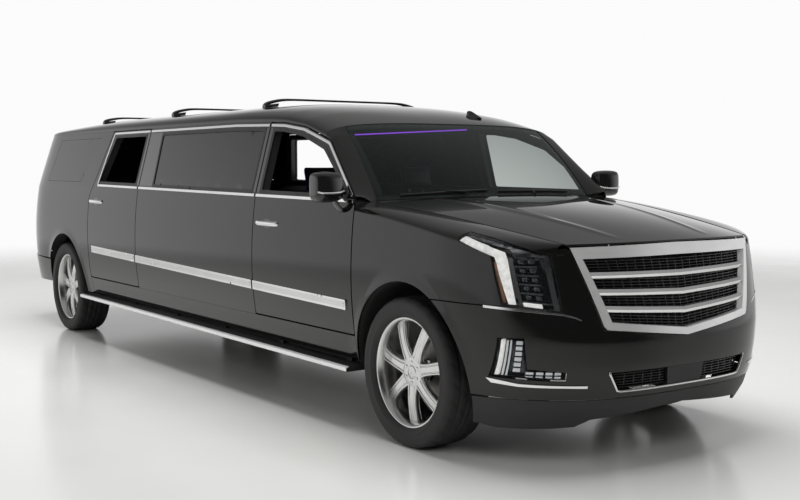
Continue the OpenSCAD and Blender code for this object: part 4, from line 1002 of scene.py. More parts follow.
# %% Bumper skin
GRILLE_LOW = (525, 709)
GRILLE_TOP = (650, 1104)
GRILLE_TIP_Z = 650
LAMP_IN = 722
BUMPER_LOW = 365


def to_nose(points, step=40):
    return [(nose_s(y, z), z) for y, z in stepped(points, step, False)]


def side_to_nose(points): return [(nose_s_at_x(x, z), z) for x, z in points]
def other_side(points): return [(-s, z) for s, z in reversed(points)]


def nose_flared(s, z, t):
    x, y, z = nose_at(s, z, t)
    return x, y + math.copysign(flare(x, z), y), z


fog_hole = [(935, 470), (935, 668), (862, 672), (845, 520), (700, 505), (700, 462)]
intake = [(-495, 496), (-443, 404), (443, 404), (495, 496)]
front_arch = [p for p in arch(FRONT_AXLE_X, 200, 200, ARCH_R, 80)
              if p[0] > FRONT_AXLE_X and BUMPER_LOW - 1 < p[1] < 822]
left_rim = (to_nose([(0, BUMPER_LOW), (880, BUMPER_LOW)]) + side_to_nose(front_arch[::-1])
            + side_to_nose(stepped([(FRONT_AXLE_X + 300, 821), (LAMP_FOOT[0], 821)], 40, False))
            + to_nose([(LAMP_IN - 4, 792), (LAMP_IN + 18, WAIST_Z + 186),
                       (GRILLE_TOP[0] + 32, WAIST_Z + 190), (GRILLE_TOP[0] + 4, 1098),
                       (GRILLE_LOW[0] + 4, GRILLE_LOW[1] - 4), (0, GRILLE_TIP_Z - 3)]))
bumper_rim = left_rim + other_side(left_rim)[1:-1]
holes = [rounded(to_nose(intake + intake[:1], 60)[:-1], 12)]
for mirrored in (False, True):
    ring = to_nose(fog_hole + fog_hole[:1])[:-1]
    holes.append(other_side(ring) if mirrored else ring)
panel("front_bumper_skin", bumper_rim, nose_flared, paint, holes=holes, deep=(0, 7), step=24,
      stands_for=["front_bumper"])
print("bumper outline has", len(bumper_rim), "points")

# %% [markdown]
# Below the painted bumper hangs a grained plastic lip. It is a panel on the same nose surface,
# set back a little, and its low edge is highest in the middle.

# %% Air dam
dam_half = to_nose([(0, 300), (540, 255), (600, 218), (860, 200)])
dam_arch = [p for p in arch(FRONT_AXLE_X, 195, 195, ARCH_R + 4, 120)
            if p[0] > FRONT_AXLE_X and 200 < p[1] < BUMPER_LOW - 4]
dam_half += side_to_nose(dam_arch[::-1]) + to_nose([(880, BUMPER_LOW - 4), (0, BUMPER_LOW - 4)])
panel("air_dam_skin", dam_half + other_side(dam_half)[1:-1], nose_flared, trim_black,
      deep=(4, 16), step=30, stands_for=["air_dam"])
print("air dam made")

# %% [markdown]
# ## Grille
# The bars follow the nose round, so each is a profile swept along a line on the nose surface. A
# bar has a bright sloping face above and a darker one below. Behind them thin slats stand in for
# the mesh. The middle, where makers put a badge, stays bare.

# %% Grille frame and bars
def grille_edge(z):
    return float(np.interp(z, (GRILLE_LOW[1], GRILLE_TOP[1]), (GRILLE_LOW[0], GRILLE_TOP[0])))


frame_half = [(0, GRILLE_TIP_Z), (GRILLE_LOW[0] - 14, GRILLE_LOW[1] - 1),
              (GRILLE_LOW[0] + 2, GRILLE_LOW[1] + 16), GRILLE_TOP]
frame_half = to_nose(frame_half) + to_nose([GRILLE_TOP, (0, GRILLE_TOP[1] + 8)])[1:]
hole_half = to_nose([(0, GRILLE_TIP_Z + 36), (GRILLE_LOW[0] - 42, GRILLE_LOW[1] + 32),
                     (grille_edge(1050) - 36, 1050), (0, 1052)])
panel("grille_frame", frame_half + other_side(frame_half)[1:-1], nose_at, silver_trim,
      holes=[hole_half + other_side(hole_half)[1:-1]], deep=(-7, 24), step=14, edge=5.0,
      stands_for=["grille"])


def along_nose(z, half, depth, count=40, drop=0.0):
    points = []
    for k in range(count + 1):
        y = half * (2 * k / count - 1)
        zz = z - drop * (1 - abs(y) / half)
        points.append(nose_at(nose_s(y, zz), zz, depth))
    return points


bar_profile = [(16, 2), (12, -13), (0, -17), (-14, -17), (-14, 17), (2, 17)]
bar_zs = [1050 - (1050 - 706) * k / 4 for k in (1, 2, 3)]
for k, z in enumerate(bar_zs):
    drop = 10 + 12 * k
    sweep(f"grille_bar_{k}", along_nose(z + drop * 0.4, grille_edge(z) - 30, 12, drop=drop),
          bar_profile, chrome, edge=1.5)
print("bars at heights", [round(z) for z in bar_zs])

# %% [markdown]
# As a real lattice the mesh would take very many small faces. Thin slats and uprights before a
# dark back read the same from outside.

# %% Slats behind the bars
back_half = to_nose([(0, GRILLE_TIP_Z + 20), (GRILLE_LOW[0] - 30, GRILLE_LOW[1] + 20),
                     (grille_edge(1070) - 20, 1070), (0, 1072)])
panel("grille_back", back_half + other_side(back_half)[1:-1], nose_at, liner, deep=(40, 46),
      step=60, edge=0)
slat = [(3, -1.6), (3, 1.6), (-9, 1.6), (-9, -1.6)]
for row in range(4):
    top = 1050 - 86 * row
    for k in range(1, 6):
        z = top - 86 * k / 6
        drop = 6 + 12 * row
        sweep(f"grille_slat_{row}_{k}", along_nose(z, grille_edge(z) - 34, 24, 30, drop), slat,
              piano)
for k in range(-9, 10):
    path = [nose_at(nose_s(k * 58 * (0.86 + 0.14 * (z - 700) / 350), z), z, 27)
            for z in range(672 + 5 * abs(k), 1056, 24)]
    sweep(f"grille_upright_{k + 9}", path, oval(1.8, 4, 6), piano, up=(1, 0, 0))
print("slats made")

# %% [markdown]
# The lower intake has the same slats in less height, inside a bright line that is swept along
# its sides and foot. A plain block fills its middle.

# %% Lower intake: bright line, slats and the plain block between them
line = to_nose([(497, 502), (494, 486), (449, 404), (430, 399), (-430, 399), (-449, 404),
                (-494, 486), (-497, 502)], 30)
sweep("intake_line", [nose_at(s, z, -1) for s, z in line], oval(6, 6, 10), chrome,
      up=(1, 0, 0), stands_for=["lower_grille"])
pane = to_nose([(-488, 494), (-440, 408), (440, 408), (488, 494)], 60)
panel("intake_back", pane, nose_at, liner, deep=(34, 40), step=60, edge=0)
for k in range(1, 7):
    z = 404 + 13.5 * k
    half = 440 + 50 * (z - 404) / 92
    sweep(f"intake_slat_{k}", along_nose(z, half, 18, 30), slat, piano)
for k in range(-7, 8):
    if abs(k) > 2:
        path = [nose_at(nose_s(k * 58, z), z, 20) for z in (408, 440, 470, 494)]
        sweep(f"intake_upright_{k + 7}", path, oval(2, 3, 6), piano, up=(1, 0, 0))
middle = rounded(to_nose([(-135, 495), (-125, 405), (125, 405), (135, 495)], 40), 8)
panel("intake_block", middle, nose_at, trim_black, deep=(3, 30), step=30, edge=3)
print("intake made")

# %% [markdown]
# ## Lamps
# A headlamp is a room behind glass: a black tray, a column of five small lenses between ledges,
# a bright edge on the inner side, and a light pipe that runs down the outer side and sweeps back
# along the fender. All of it is laid on the nose surface at growing depths.

# %% Headlamps
def lamp_surface(side):
    """The nose surface, rolled over at the crease as the fender is."""
    def at(s, v, t):
        x, y, z = nose_at(s, v, t)
        if z > crest(x) - DROP:
            y, z = rolled(x, y, v, 0.7 * t)
        return x, side * y, z
    return at


tip = (nose_s_at_x(3284, 1130), 1130)
bend = (nose_s_at_x(LAMP_BEND[0], LAMP_BEND[1]), LAMP_BEND[1])
foot_out = (nose_s_at_x(LAMP_FOOT[0] + 2, 832), 832)
foot_in = (nose_s(722, 799), 799)
head_in = (nose_s(745, 1072), 1072)
wing_top = [(nose_s_at_x(x, v), v) for x, v in lamp_top[1:]]
lamp_rim = [tip] + wing_top + [head_in, foot_in, foot_out, bend]


def lamp_point(across, up):
    """A place in the lamp's upright part: across 0 at the inner edge, up 0 at the foot."""
    inner = np.array(foot_in) * (1 - up) + np.array(head_in) * up
    outer = np.array(foot_out) * (1 - up) + np.array(bend) * up
    return tuple(inner * (1 - across) + outer * across)


def lamp_box(a0, a1, u0, u1): return [lamp_point(a, u) for a, u in
                                      ((a0, u0), (a0, u1), (a1, u1), (a1, u0))]


for side, word in ((1, "left"), (-1, "right")):
    at = lamp_surface(side)
    panel(f"lamp_tray_{word}", lamp_rim, at, piano, deep=(44, 50), step=40, edge=0,
          stands_for=["headlights"] if side > 0 else ())
    panel(f"lamp_lens_{word}", rounded(lamp_rim, 8), at, lens_glass, deep=(1, 3.5), step=26,
          edge=0)
    panel(f"lamp_inner_edge_{word}", lamp_box(0.02, 0.11, 0.01, 0.99), at, chrome,
          deep=(5, 40), step=30, edge=3)
    roof_part = ([lamp_point(0.1, 0.95), head_in] + wing_top[::-1]
                 + [(wing_top[0][0] - 6, wing_top[0][1] - 20), lamp_point(0.66, 1.12),
                    lamp_point(0.56, 0.99)])
    panel(f"lamp_top_{word}", roof_part, at, chrome, deep=(14, 40), step=22, edge=3)
    pipe = [(tip[0] - 6, tip[1] + 1), (wing_top[0][0] - 8, wing_top[0][1] - 24),
            lamp_point(0.74, 1.06), lamp_point(0.72, 0.9), lamp_point(0.76, 0.03),
            lamp_point(0.90, 0.02), lamp_point(0.95, 0.97)]
    panel(f"lamp_pipe_{word}", rounded(pipe, 5), at, led_white, deep=(7, 16), step=30, edge=2)
    panel(f"lamp_marker_{word}", lamp_box(0.935, 0.985, 0.06, 0.86), at, amber, deep=(5, 20),
          step=40, edge=2)
    panel(f"lamp_divider_{word}", lamp_box(0.63, 0.70, 0.02, 0.96), at, chrome, deep=(10, 40),
          step=40, edge=3)
    for row in range(5):
        low, high = 0.13 + 0.168 * row, 0.13 + 0.168 * (row + 0.78)
        panel(f"lamp_ledge_{word}_{row}", lamp_box(0.24, 0.61, low - 0.03, low), at, chrome,
              deep=(10, 40), step=60, edge=1)
        for cell in (0, 1):
            a0 = 0.26 + 0.18 * cell
            panel(f"lamp_cell_{word}_{row}_{cell}",
                  rounded(lamp_box(a0, a0 + 0.14, low + 0.02, high - 0.02), 5), at, lens_glass,
                  deep=(16, 38), step=60, edge=5)
            panel(f"lamp_core_{word}_{row}_{cell}",
                  lamp_box(a0 + 0.02, a0 + 0.12, low + 0.03, high - 0.03), at, chrome,
                  deep=(30, 42), step=60, edge=4)
    panel(f"lamp_foot_{word}", lamp_box(0.3, 0.62, 0.02, 0.09), at, led_white, deep=(8, 30),
          step=60, edge=2)
    corner = to_nose([(656, 1071), (752, 1073), (748, 1096), (664, 1110), (656, 1071)])[:-1]
    panel(f"nose_corner_{word}", corner, at, paint, deep=(1, 9), step=30, edge=2)
    # Painted highlight: under each lamp the black paint has a crease that catches a line of light,
    # and a thin chrome strip stands in for that highlight.
    ledge = to_nose([(968, 818), (850, 804), (722, 788), (664, 772), (636, 758)], 20)
    rows = [(s, z, 7 - 4 * k / len(ledge)) for k, (s, z) in enumerate(ledge)]
    low, high = ([at(s, z + sign * h, -1) for s, z, h in rows] for sign in (-1, 1))
    loft(f"crease_highlight_line_{word}", [[a, b, at(s, z, 4)] for a, b, (s, z, h)
                                     in zip(low, high, rows)], chrome, edge=1)
print("headlamps made")

# %% [markdown]
# A fog lamp is an L-shaped tray behind glass, with upright pipes and rows of small reflectors.
# Each reflector is a bevelled panel on the nose surface, so the rows follow the bumper round.

# %% Fog lamps
for side, word in ((1, "left"), (-1, "right")):
    at = (lambda s, z, t, side=side: (nose_at(s, z, t)[0], side * nose_at(s, z, t)[1], z))
    ring = to_nose(fog_hole + fog_hole[:1])[:-1]
    panel(f"fog_tray_{word}", ring, at, piano, deep=(36, 42), step=40, edge=0,
          stands_for=["fog_lamps"] if side > 0 else ())
    panel(f"fog_lens_{word}", rounded(ring, 6), at, lens_glass, deep=(3, 6), step=30, edge=0)
    for k, (y0, y1) in enumerate(((926, 918), (912, 906), (902, 897))):
        strip = to_nose([(y0, 482), (y0, 660), (y1, 661), (y1, 482)], 60)
        panel(f"fog_pipe_{word}_{k}", strip, at, led_white if k == 0 else chrome, deep=(8, 34),
              step=60, edge=1)
    for k in range(6):
        z = 500 + 27 * k
        cell = to_nose([(888, z), (888, z + 21), (866, z + 22), (866, z)], 60)
        panel(f"fog_cell_{word}_{k}", cell, at, chrome, deep=(18, 36), step=60, edge=3)
    for k in range(4):
        y = 720 + 34 * k
        for row in (0, 1):
            z = 468 + 20 * row
            cell = to_nose([(y, z), (y, z + 16), (y + 28, z + 17), (y + 28, z)], 60)
            panel(f"fog_grid_{word}_{k}_{row}", cell, at, chrome, deep=(20, 36), step=60, edge=3)
    bright = to_nose([(940, 466), (860, 447), (600, 440), (602, 424), (700, 428), (860, 430),
                      (925, 440)], 40)
    panel(f"fog_line_{word}", bright, at, chrome, deep=(-7, 6), step=24, edge=3)
print("fog lamps made")

# %% [markdown]
# ## Bright trim along the side
# A line of polished trim runs round the side windows, and a wide strip lies low on the doors.
# Each door carries its own stretch of it, so that the line opens with the door.

# %% Window line, side strip and handles
def clipped(line, x0, x1):
    """The part of a line of (x, z) between two stations."""
    made = []
    for (ax, az), (bx, bz) in zip(line, line[1:]):
        for f in np.linspace(0, 1, 2 + int(math.dist((ax, az), (bx, bz)) / 5)):
            x, z = ax + (bx - ax) * f, az + (bz - az) * f
            if x0 <= x <= x1:
                made.append((x, z))
    thin = made[:1]
    for p in made:
        if math.dist(p, thin[-1]) > 13:
            thin.append(p)
    return thin


low_line = [(-1738, 1342), (2345, 1303)]
top_xs = np.linspace(HINGE_X - 4, -1600, 160)
high_line = [(x, frame_top(x) - 13) for x in top_xs]
rear_slope = [(-1600, EAVE_Z - 21), (-1668, 1585), (-1736, 1352)]
SIDE_PARTS = [("front_door", FRONT_DOOR_END + 3, HINGE_X - 3),
              ("stretch", STRETCH_X0 + 2, STRETCH_X1 - 2),
              ("rear_door", REAR_DOOR_END + 3, REAR_DOOR_START - 3)]


def strip_z(x): return 711 + 0.02 * (HINGE_X - 55 - x)


for side, word in ((1, "left"), (-1, "right")):
    at = side_at(side)
    for part, x0, x1 in SIDE_PARTS:
        body = "root" if part == "stretch" else f"{part}_{word}"
        low = clipped(low_line, x0, x1)
        panel(f"{part}_belt_line_{word}", ribbon(low, -10, 10), at, chrome, body,
              deep=(-7, 4), step=40, edge=3)
        high = clipped(high_line, x0, x1 - (26 if part == "front_door" else 0))
        panel(f"{part}_top_line_{word}", ribbon(high, -9, 9), at, chrome, body, deep=(-6, 4),
              step=40, edge=3)
        s0 = x0 + (96 if part == "rear_door" else 3)
        s1 = x1 - (52 if part == "front_door" else 3)
        strip = [(x, strip_z(x)) for x in np.linspace(s0, s1, 12)]
        panel(f"{part}_strip_{word}", rounded(ribbon(strip, -29, 29), 6), at, chrome, body,
              deep=(-9, 2), step=40, edge=5)
        groove = [(x, strip_z(x)) for x in np.linspace(s0 + 12, s1 - 12, 12)]
        panel(f"{part}_strip_inlay_{word}", rounded(ribbon(groove, -16, 16), 4), at,
              wheel_silver, body, deep=(-10.5, -4), step=60, edge=1.5)
    eave_line = [(x, frame_top(x)) for x in np.linspace(REAR_DOOR_END, HINGE_X - 620, 160)]
    panel(f"eave_seal_{word}", ribbon(eave_line, 3, 34), at, seal, deep=(11, 40), step=60, edge=1)
    panel(f"rear_slope_line_{word}", ribbon(rear_slope, -9, 9), at, chrome,
          f"rear_door_{word}", deep=(-6, 4), step=40, edge=3)
print("window line made")


# %% [markdown]
# A handle is a bowed bar over a shallow cup. A section swept along a bowed line gives the bar,
# and a gloss oval under its middle stands for the cup.

# %% Door handles
def handle(name, x, z, side, body):
    path = [(x + 150 + 140 * u, side * (side_y(z) + 22 - 24 * u ** 6 - 6 * u * u), z + 17)
            for u in np.linspace(-1, 1, 25)]
    sweep(name, path, [(9 * math.cos(a), 16 * math.sin(a)) for a in
                       np.linspace(0, 2 * math.pi, 16, endpoint=False)], chrome, body)
    cup = [(x + 150 + 62 * math.cos(a), z + 17 + 30 * math.sin(a))
           for a in np.linspace(0, 2 * math.pi, 28, endpoint=False)]
    panel(name + "_cup", cup, side_at(side), piano, body, deep=(-1.2, 6), step=30, edge=1)


for side, word in ((1, "left"), (-1, "right")):
    handle(f"front_handle_{word}", FRONT_DOOR_END + 35, 1122, side, f"front_door_{word}")
    handle(f"rear_handle_{word}", REAR_DOOR_END + 26, 1186, side, f"rear_door_{word}")
print("handles made")

# %% [markdown]
# ## Wheels
# A cast wheel is a turned rim with spokes that were milled afterwards. The rim and hub are
# lathed. A spoke is a grid whose section has three ridges and two grooves, and it widens into
# the rim. The tyre is lathed too, with its tread lowered where the grooves run.

# %% Spokes, rim and hub
FACE = RIM_W / 2 - 30
BARREL_R = RIM_R - 12


def spoke_section(f):
    """Height of a spoke across its width, f from -1 to 1."""
    groove = 7 * (math.exp(-((abs(f) - 0.52) / 0.07) ** 2))
    edge = 26 * max(0, (abs(f) - 0.82) / 0.18) ** 2
    return -groove - edge


def wheel_set(word, x, side, body):
    centre = (x, side * WHEEL_Y, AXLE_Z)
    rim = [(BARREL_R - 13, -RIM_W / 2), (RIM_R - 1, -RIM_W / 2), (RIM_R - 1, -RIM_W / 2 + 6),
           (BARREL_R - 1, -RIM_W / 2 + 10), (BARREL_R - 6, 0), (BARREL_R - 1, RIM_W / 2 - 10),
           (RIM_R - 1, RIM_W / 2 - 6), (RIM_R, RIM_W / 2 - 2), (RIM_R - 3, RIM_W / 2),
           (BARREL_R + 2, RIM_W / 2 - 2), (BARREL_R - 6, RIM_W / 2 - 14),
           (BARREL_R - 16, FACE - 16), (BARREL_R - 22, FACE - 60), (BARREL_R - 24, -20),
           (BARREL_R - 14, -RIM_W / 2 + 20)]
    piece = lathe(f"rim_{word}", rim, centre, wheel_silver, body, 96, [body], side)
    softened(piece, 1.5, 50)

    def spokes(form):
        for k in range(7):
            turn = 2 * math.pi * (k + 0.25) / 7
            rows, cols = 16, 28
            both = []
            for depth in (0, 30):
                skin = []
                for i in range(rows + 1):
                    r = 58 + (BARREL_R - 8 - 58) * i / rows
                    flow = (i / rows)
                    width = 33 + 9 * flow ** 3 + 16 * (1 - flow) ** 5
                    row = []
                    for j in range(cols + 1):
                        f = 2 * j / cols - 1
                        out = FACE - 4 + 12 * math.sin(math.pi * flow ** 0.9) ** 1.0 - 10 * flow
                        out += spoke_section(f) if not depth else -30 + 12 * abs(f) - 14
                        a = f * width * (0.93 if depth else 1)
                        px = r * math.cos(turn) - a * math.sin(turn)
                        pz = r * math.sin(turn) + a * math.cos(turn)
                        row.append(form.verts.new(((centre[0] + px) * MM,
                                                   (centre[1] + side * out) * MM,
                                                   (centre[2] + pz) * MM)))
                    skin.append(row)
                both.append(skin)
                for i in range(rows):
                    for j in range(cols):
                        form.faces.new([skin[i][j], skin[i][j + 1], skin[i + 1][j + 1],
                                        skin[i + 1][j]])
            a, b = both
            ring = ([(0, j) for j in range(cols)] + [(i, cols) for i in range(rows)]
                    + [(rows, j) for j in range(cols, 0, -1)]
                    + [(i, 0) for i in range(rows, 0, -1)])
            for (i, j), (m, n) in zip(ring, ring[1:] + ring[:1]):
                form.faces.new([a[i][j], a[m][n], b[m][n], b[i][j]])
    finished(mesh_of(f"spokes_{word}", spokes), f"spokes_{word}", wheel_silver, body)

    hub = [(2, FACE + 2), (30, FACE + 2), (34, FACE), (36, FACE - 3), (38, FACE), (74, FACE + 1),
           (84, FACE - 4), (90, FACE - 16), (90, FACE - 60), (2, FACE - 60)]
    softened(lathe(f"hub_{word}", hub, centre, wheel_silver, body, 72, (), side), 1.5, 30)
    nut = [(0.5, 6), (7, 5), (9, 0), (9, -10), (0.5, -10)]
    for k in range(6):
        a = 2 * math.pi * (k + 0.5) / 6
        at = (centre[0] + 56 * math.cos(a), centre[1] + side * FACE, centre[2] + 56 * math.sin(a))
        lathe(f"nut_{word}_{k}", nut, at, chrome, body, 12, (), side)
    disc = [(62, -18), (163, -18), (163, -26), (170, -30), (170, -38), (62, -38)]
    softened(lathe(f"disc_{word}", disc, centre, steel, body, 72, (), side), 1.0, 30)


WHEELS = [("front_left", FRONT_AXLE_X, 1), ("front_right", FRONT_AXLE_X, -1),
          ("rear_left", REAR_AXLE_X, 1), ("rear_right", REAR_AXLE_X, -1)]
for word, x, side in WHEELS:
    wheel_set(word, x, side, f"wheel_{word}")
print("wheels made")

# %% [markdown]
# A tyre is turned on a lathe from its section. The tread is the same surface with points lowered
# in a repeating pattern, which costs no extra faces.

# %% Tyres
def tyre_profile():
    half = TYRE_W / 2
    side_wall = [(RIM_R - 8, -RIM_W / 2 + 8), (RIM_R + 1, -RIM_W / 2 - 1), (RIM_R + 6, -half + 14),
                 (RIM_R + 14, -half + 7), (RIM_R + 22, -half + 4), (RIM_R + 24, -half + 2),
                 (RIM_R + 27, -half + 2), (RIM_R + 29, -half + 3), (RIM_R + 50, -half + 0.5),
                 (RIM_R + 68, -half + 1), (TYRE_R - 30, -half + 3), (TYRE_R - 22, -half + 6),
                 (TYRE_R - 14, -half + 12), (TYRE_R - 7, -half + 22)]
    tread = [(TYRE_R - 4 + 4 * math.sin(math.pi * k / 32), -half + 30 + (TYRE_W - 60) * k / 32)
             for k in range(33)]
    return side_wall + tread + [(r, -out) for r, out in reversed(side_wall)]


profile = tyre_profile()
FIRST_TREAD, LAST_TREAD, TURNS = 13, 14 + 33, 208


def tread_cut(i, k):
    """How far a tread point is lowered: four grooves round it, and slanted cuts across."""
    if not FIRST_TREAD < k < LAST_TREAD:
        return -2.5 if k in (12, 13, LAST_TREAD, LAST_TREAD + 1) and i % 8 < 2 else 0
    place = (k - FIRST_TREAD - 1) % 33
    if place in (6, 7, 13, 14, 18, 19, 25, 26):
        return -8
    slant = (i + (place if place < 16 else 32 - place) // 2) % 8
    return -4 if slant < 2 else 0


for word, x, side in WHEELS:
    lathe(f"tyre_skin_{word}", profile, (x, side * WHEEL_Y, AXLE_Z), rubber, f"wheel_{word}",
          TURNS, [f"tyre_{word}"], side, tread_cut)
print("a tyre has", TURNS * len(profile), "faces")

# %% [markdown]
# ## Mirrors, steps, bars and fin
# Small parts are lofts and swept shapes. Flat ones, such as a mirror's glass, are panels on an
# upright plane.

# %% An upright plane
def upright(x, side=1):
    """A surface for panel: outlines of (y, z) stand square across the car at x."""
    return lambda y, z, t: (x + t, side * y, z)


print("a point of a plane at x = 5 mm:", upright(5)(2, 3, 0))

# %% [markdown]
# A mirror is a rounded box on a bent foot. Rings of points across its width are joined into a
# loft, and subdivision rounds it. It rides on its door.

# %% Mirrors
HEAD_MID_X, HEAD_BACK = 2206, 34
# each ring of the head: y, lowest z, highest z, foremost x
head = [(1006, 1340, 1436, 2236), (1010, 1312, 1456, 2256), (1040, 1298, 1466, 2272),
        (1100, 1290, 1470, 2282), (1160, 1292, 1468, 2278), (1187, 1304, 1460, 2264),
        (1194, 1326, 1446, 2244)]


def head_ring(y, low, high, front, side):
    turns = np.linspace(0, 2 * math.pi, 16, endpoint=False)
    mid, half = (low + high) / 2, (high - low) / 2
    ring = []
    for a in turns:
        c, s = math.cos(a), math.sin(a)
        reach = (front - HEAD_MID_X) if c > 0 else HEAD_BACK
        ring.append((HEAD_MID_X + reach * math.copysign(abs(c) ** 0.5, c), side * y,
                     mid + half * math.copysign(abs(s) ** 0.5, s)))
    return ring


for side, word in ((1, "left"), (-1, "right")):
    body = f"front_door_{word}"
    loft(f"mirror_head_{word}", [head_ring(*row, side) for row in head], piano, body,
         [f"mirror_{word}"], smooth=2)
    glass_rim = rounded([(1026, 1318), (1170, 1308), (1176, 1448), (1030, 1454)], 26)
    panel(f"mirror_glass_{word}", glass_rim, upright(2168, side), chrome, body, deep=(0, 8),
          step=40, edge=1.5)
    line = [(row[3] - 3, side * row[0], 0.68 * row[1] + 0.32 * row[2]) for row in head[1:-1]]
    sweep(f"mirror_line_{word}", line, oval(6, 5, 8), silver_trim, body)
    foot = [[(2262, side * 993, 1226), (2180, side * 993, 1226), (2180, side * 993, 1262),
             (2262, side * 993, 1256)],
            [(2258, side * 1035, 1246), (2184, side * 1035, 1246), (2184, side * 1042, 1286),
             (2254, side * 1042, 1280)],
            [(2246, side * 1062, 1300), (2186, side * 1062, 1300), (2186, side * 1040, 1340),
             (2240, side * 1040, 1336)]]
    loft(f"mirror_foot_{word}", foot, piano, body, smooth=2)
print("mirrors made")

# %% [markdown]
# A step is one extrusion from wheel to wheel, so it is swept, with a bright outer edge and rubber
# ribs. Short arms hold it, and a painted sill lies above it.

# %% Steps and sills
step_profile = [(-84, -14), (-84, 14), (56, 15), (72, 13), (82, 6), (82, -8), (74, -15)]
for side, word in ((1, "left"), (-1, "right")):
    ends = [(-2028, side * 976, 368.5), (2342, side * 976, 351.5)]
    path = ends[::-1] if side > 0 else ends
    sweep(f"step_{word}", path, step_profile, trim_black, edge=3,
          stands_for=["running_boards"] if side > 0 else ())
    line = [(62, 14), (64, 18), (80, 14), (85, 6), (85, -10), (80, -12), (79, 4), (74, 9)]
    sweep(f"step_line_{word}", path, line, silver_trim, edge=1.5)
    inner = sorted((side * 906, side * 914))
    block(f"step_back_{word}", (-2022, inner[0], 350), (2336, inner[1], SILL_Z), underseal)
    for k in range(6):
        rib = [(-62 + 21 * k, 13), (-62 + 21 * k, 17), (-52 + 21 * k, 17), (-52 + 21 * k, 13)]
        sweep(f"step_rib_{word}_{k}", path, rib, rubber)
        x = -1880 + 814 * k
        arm = sorted((side * 894, side * 940))
        block(f"step_arm_{word}_{k}", (x - 28, arm[0], 366), (x + 28, arm[1], SILL_Z - 1),
              underseal)
    sill = [(QUARTER_FRONT + 2, SILL_Z), (HINGE_X + GAP - 1, SILL_Z),
            (HINGE_X + GAP - 1, SILL_TOP), (QUARTER_FRONT + 2, SILL_TOP)]
    panel(f"sill_{word}", sill, side_at(side), paint, deep=(0, 60), step=60, edge=3,
          stands_for=["body_sides"] if side > 0 else ())
    # posts that carry the front doors' hinges, seen when a door is open
    post = [(HINGE_X - 82, SILL_TOP), (HINGE_X + 4, SILL_TOP), (HINGE_X + 4, BELT_Z - 92),
            (HINGE_X - 82, BELT_Z - 92)]
    panel(f"door_post_{word}", post, side_at(side), trim_black, deep=(136, 160), step=80, edge=3)
print("steps and sills made")

# %% [markdown]
# The bars run across the roof and bend down into feet at both ends, so each is a loft of oval
# rings. The fin is a loft too, from a wide foot to a narrow top.

# %% Roof bars and antenna
for k, x in enumerate((BAR_FRONT_X, (BAR_FRONT_X + BAR_REAR_X) / 2, BAR_REAR_X)):
    foot_out, foot_in = (roof_at(x, math.sin(math.radians(a)), 0) for a in (50, 40))
    top = crown(x) + 31
    half = [(foot_out.y - 3, foot_out.z + 5, 6), (foot_out.y - 2, foot_out.z + 18, 13),
            (foot_out.y - 24, foot_out.z + 36, 13), (foot_in.y - 10, top - 6, 12),
            (foot_in.y - 70, top + 2, 9), (foot_in.y - 200, top + 3, 8), (200, top + 3, 8)]
    path = half + [(-y, z, h) for y, z, h in reversed(half)]
    rings = [[(x + 26 * math.cos(a), y, z + h * math.sin(a))
              for a in np.linspace(0, 2 * math.pi, 12, endpoint=False)] for y, z, h in path]
    loft(f"roof_bar_{k}", rings, piano, stands_for=["roof_bars"] if k == 0 else (), smooth=1)
    for side in (1, -1):
        pad = [(x - 27, side * foot_in.y, foot_in.z + 1), (x + 27, side * foot_in.y, foot_in.z + 1),
               (x + 27, side * foot_out.y, foot_out.z + 1),
               (x - 27, side * foot_out.y, foot_out.z + 1)]
        cap = [(px, py * 0.985, pz + 22) for px, py, pz in pad]
        loft(f"bar_foot_{k}_{side + 1}", [pad, cap], trim_black, edge=6)
fin_x, fin_y = HINGE_X - 600, 390
fin_z = roof_at(fin_x, fin_y / eave_y(fin_x), 0).z
fin = []
for z, front, back, half in ((-6, 1766, 1600, 33), (4, 1764, 1600, 32), (14, 1744, 1602, 20),
                             (34, 1700, 1604, 10), (58, 1650, 1606, 5)):
    mid, reach = (front + back) / 2, (front - back) / 2
    fin.append([(mid + reach * math.cos(a), fin_y + half * math.sin(a), fin_z + z)
                for a in np.linspace(0, 2 * math.pi, 20, endpoint=False)])
loft("antenna_fin", fin, paint, stands_for=["antenna"], smooth=1)
print("bars and fin made")

# %% [markdown]
# The black cowl closes the gap between hood and glass, and the wipers rest just above it. Each
# wheel arch has a dark liner, which is a grid bent to a part of a cylinder.

# %% Cowl, wipers and wheel arch liners
def cowl(u, v, d):
    t = 2 * v - 1
    a = Vector(hood_at(0, t * 0.97, 6)) + Vector((4, 0, -10))
    b = screen_low(t) + Vector((-6, 0, -3))
    return a * (1 - u) + b * u - Vector((0, 0, 16 * math.sin(math.pi * u) + d))


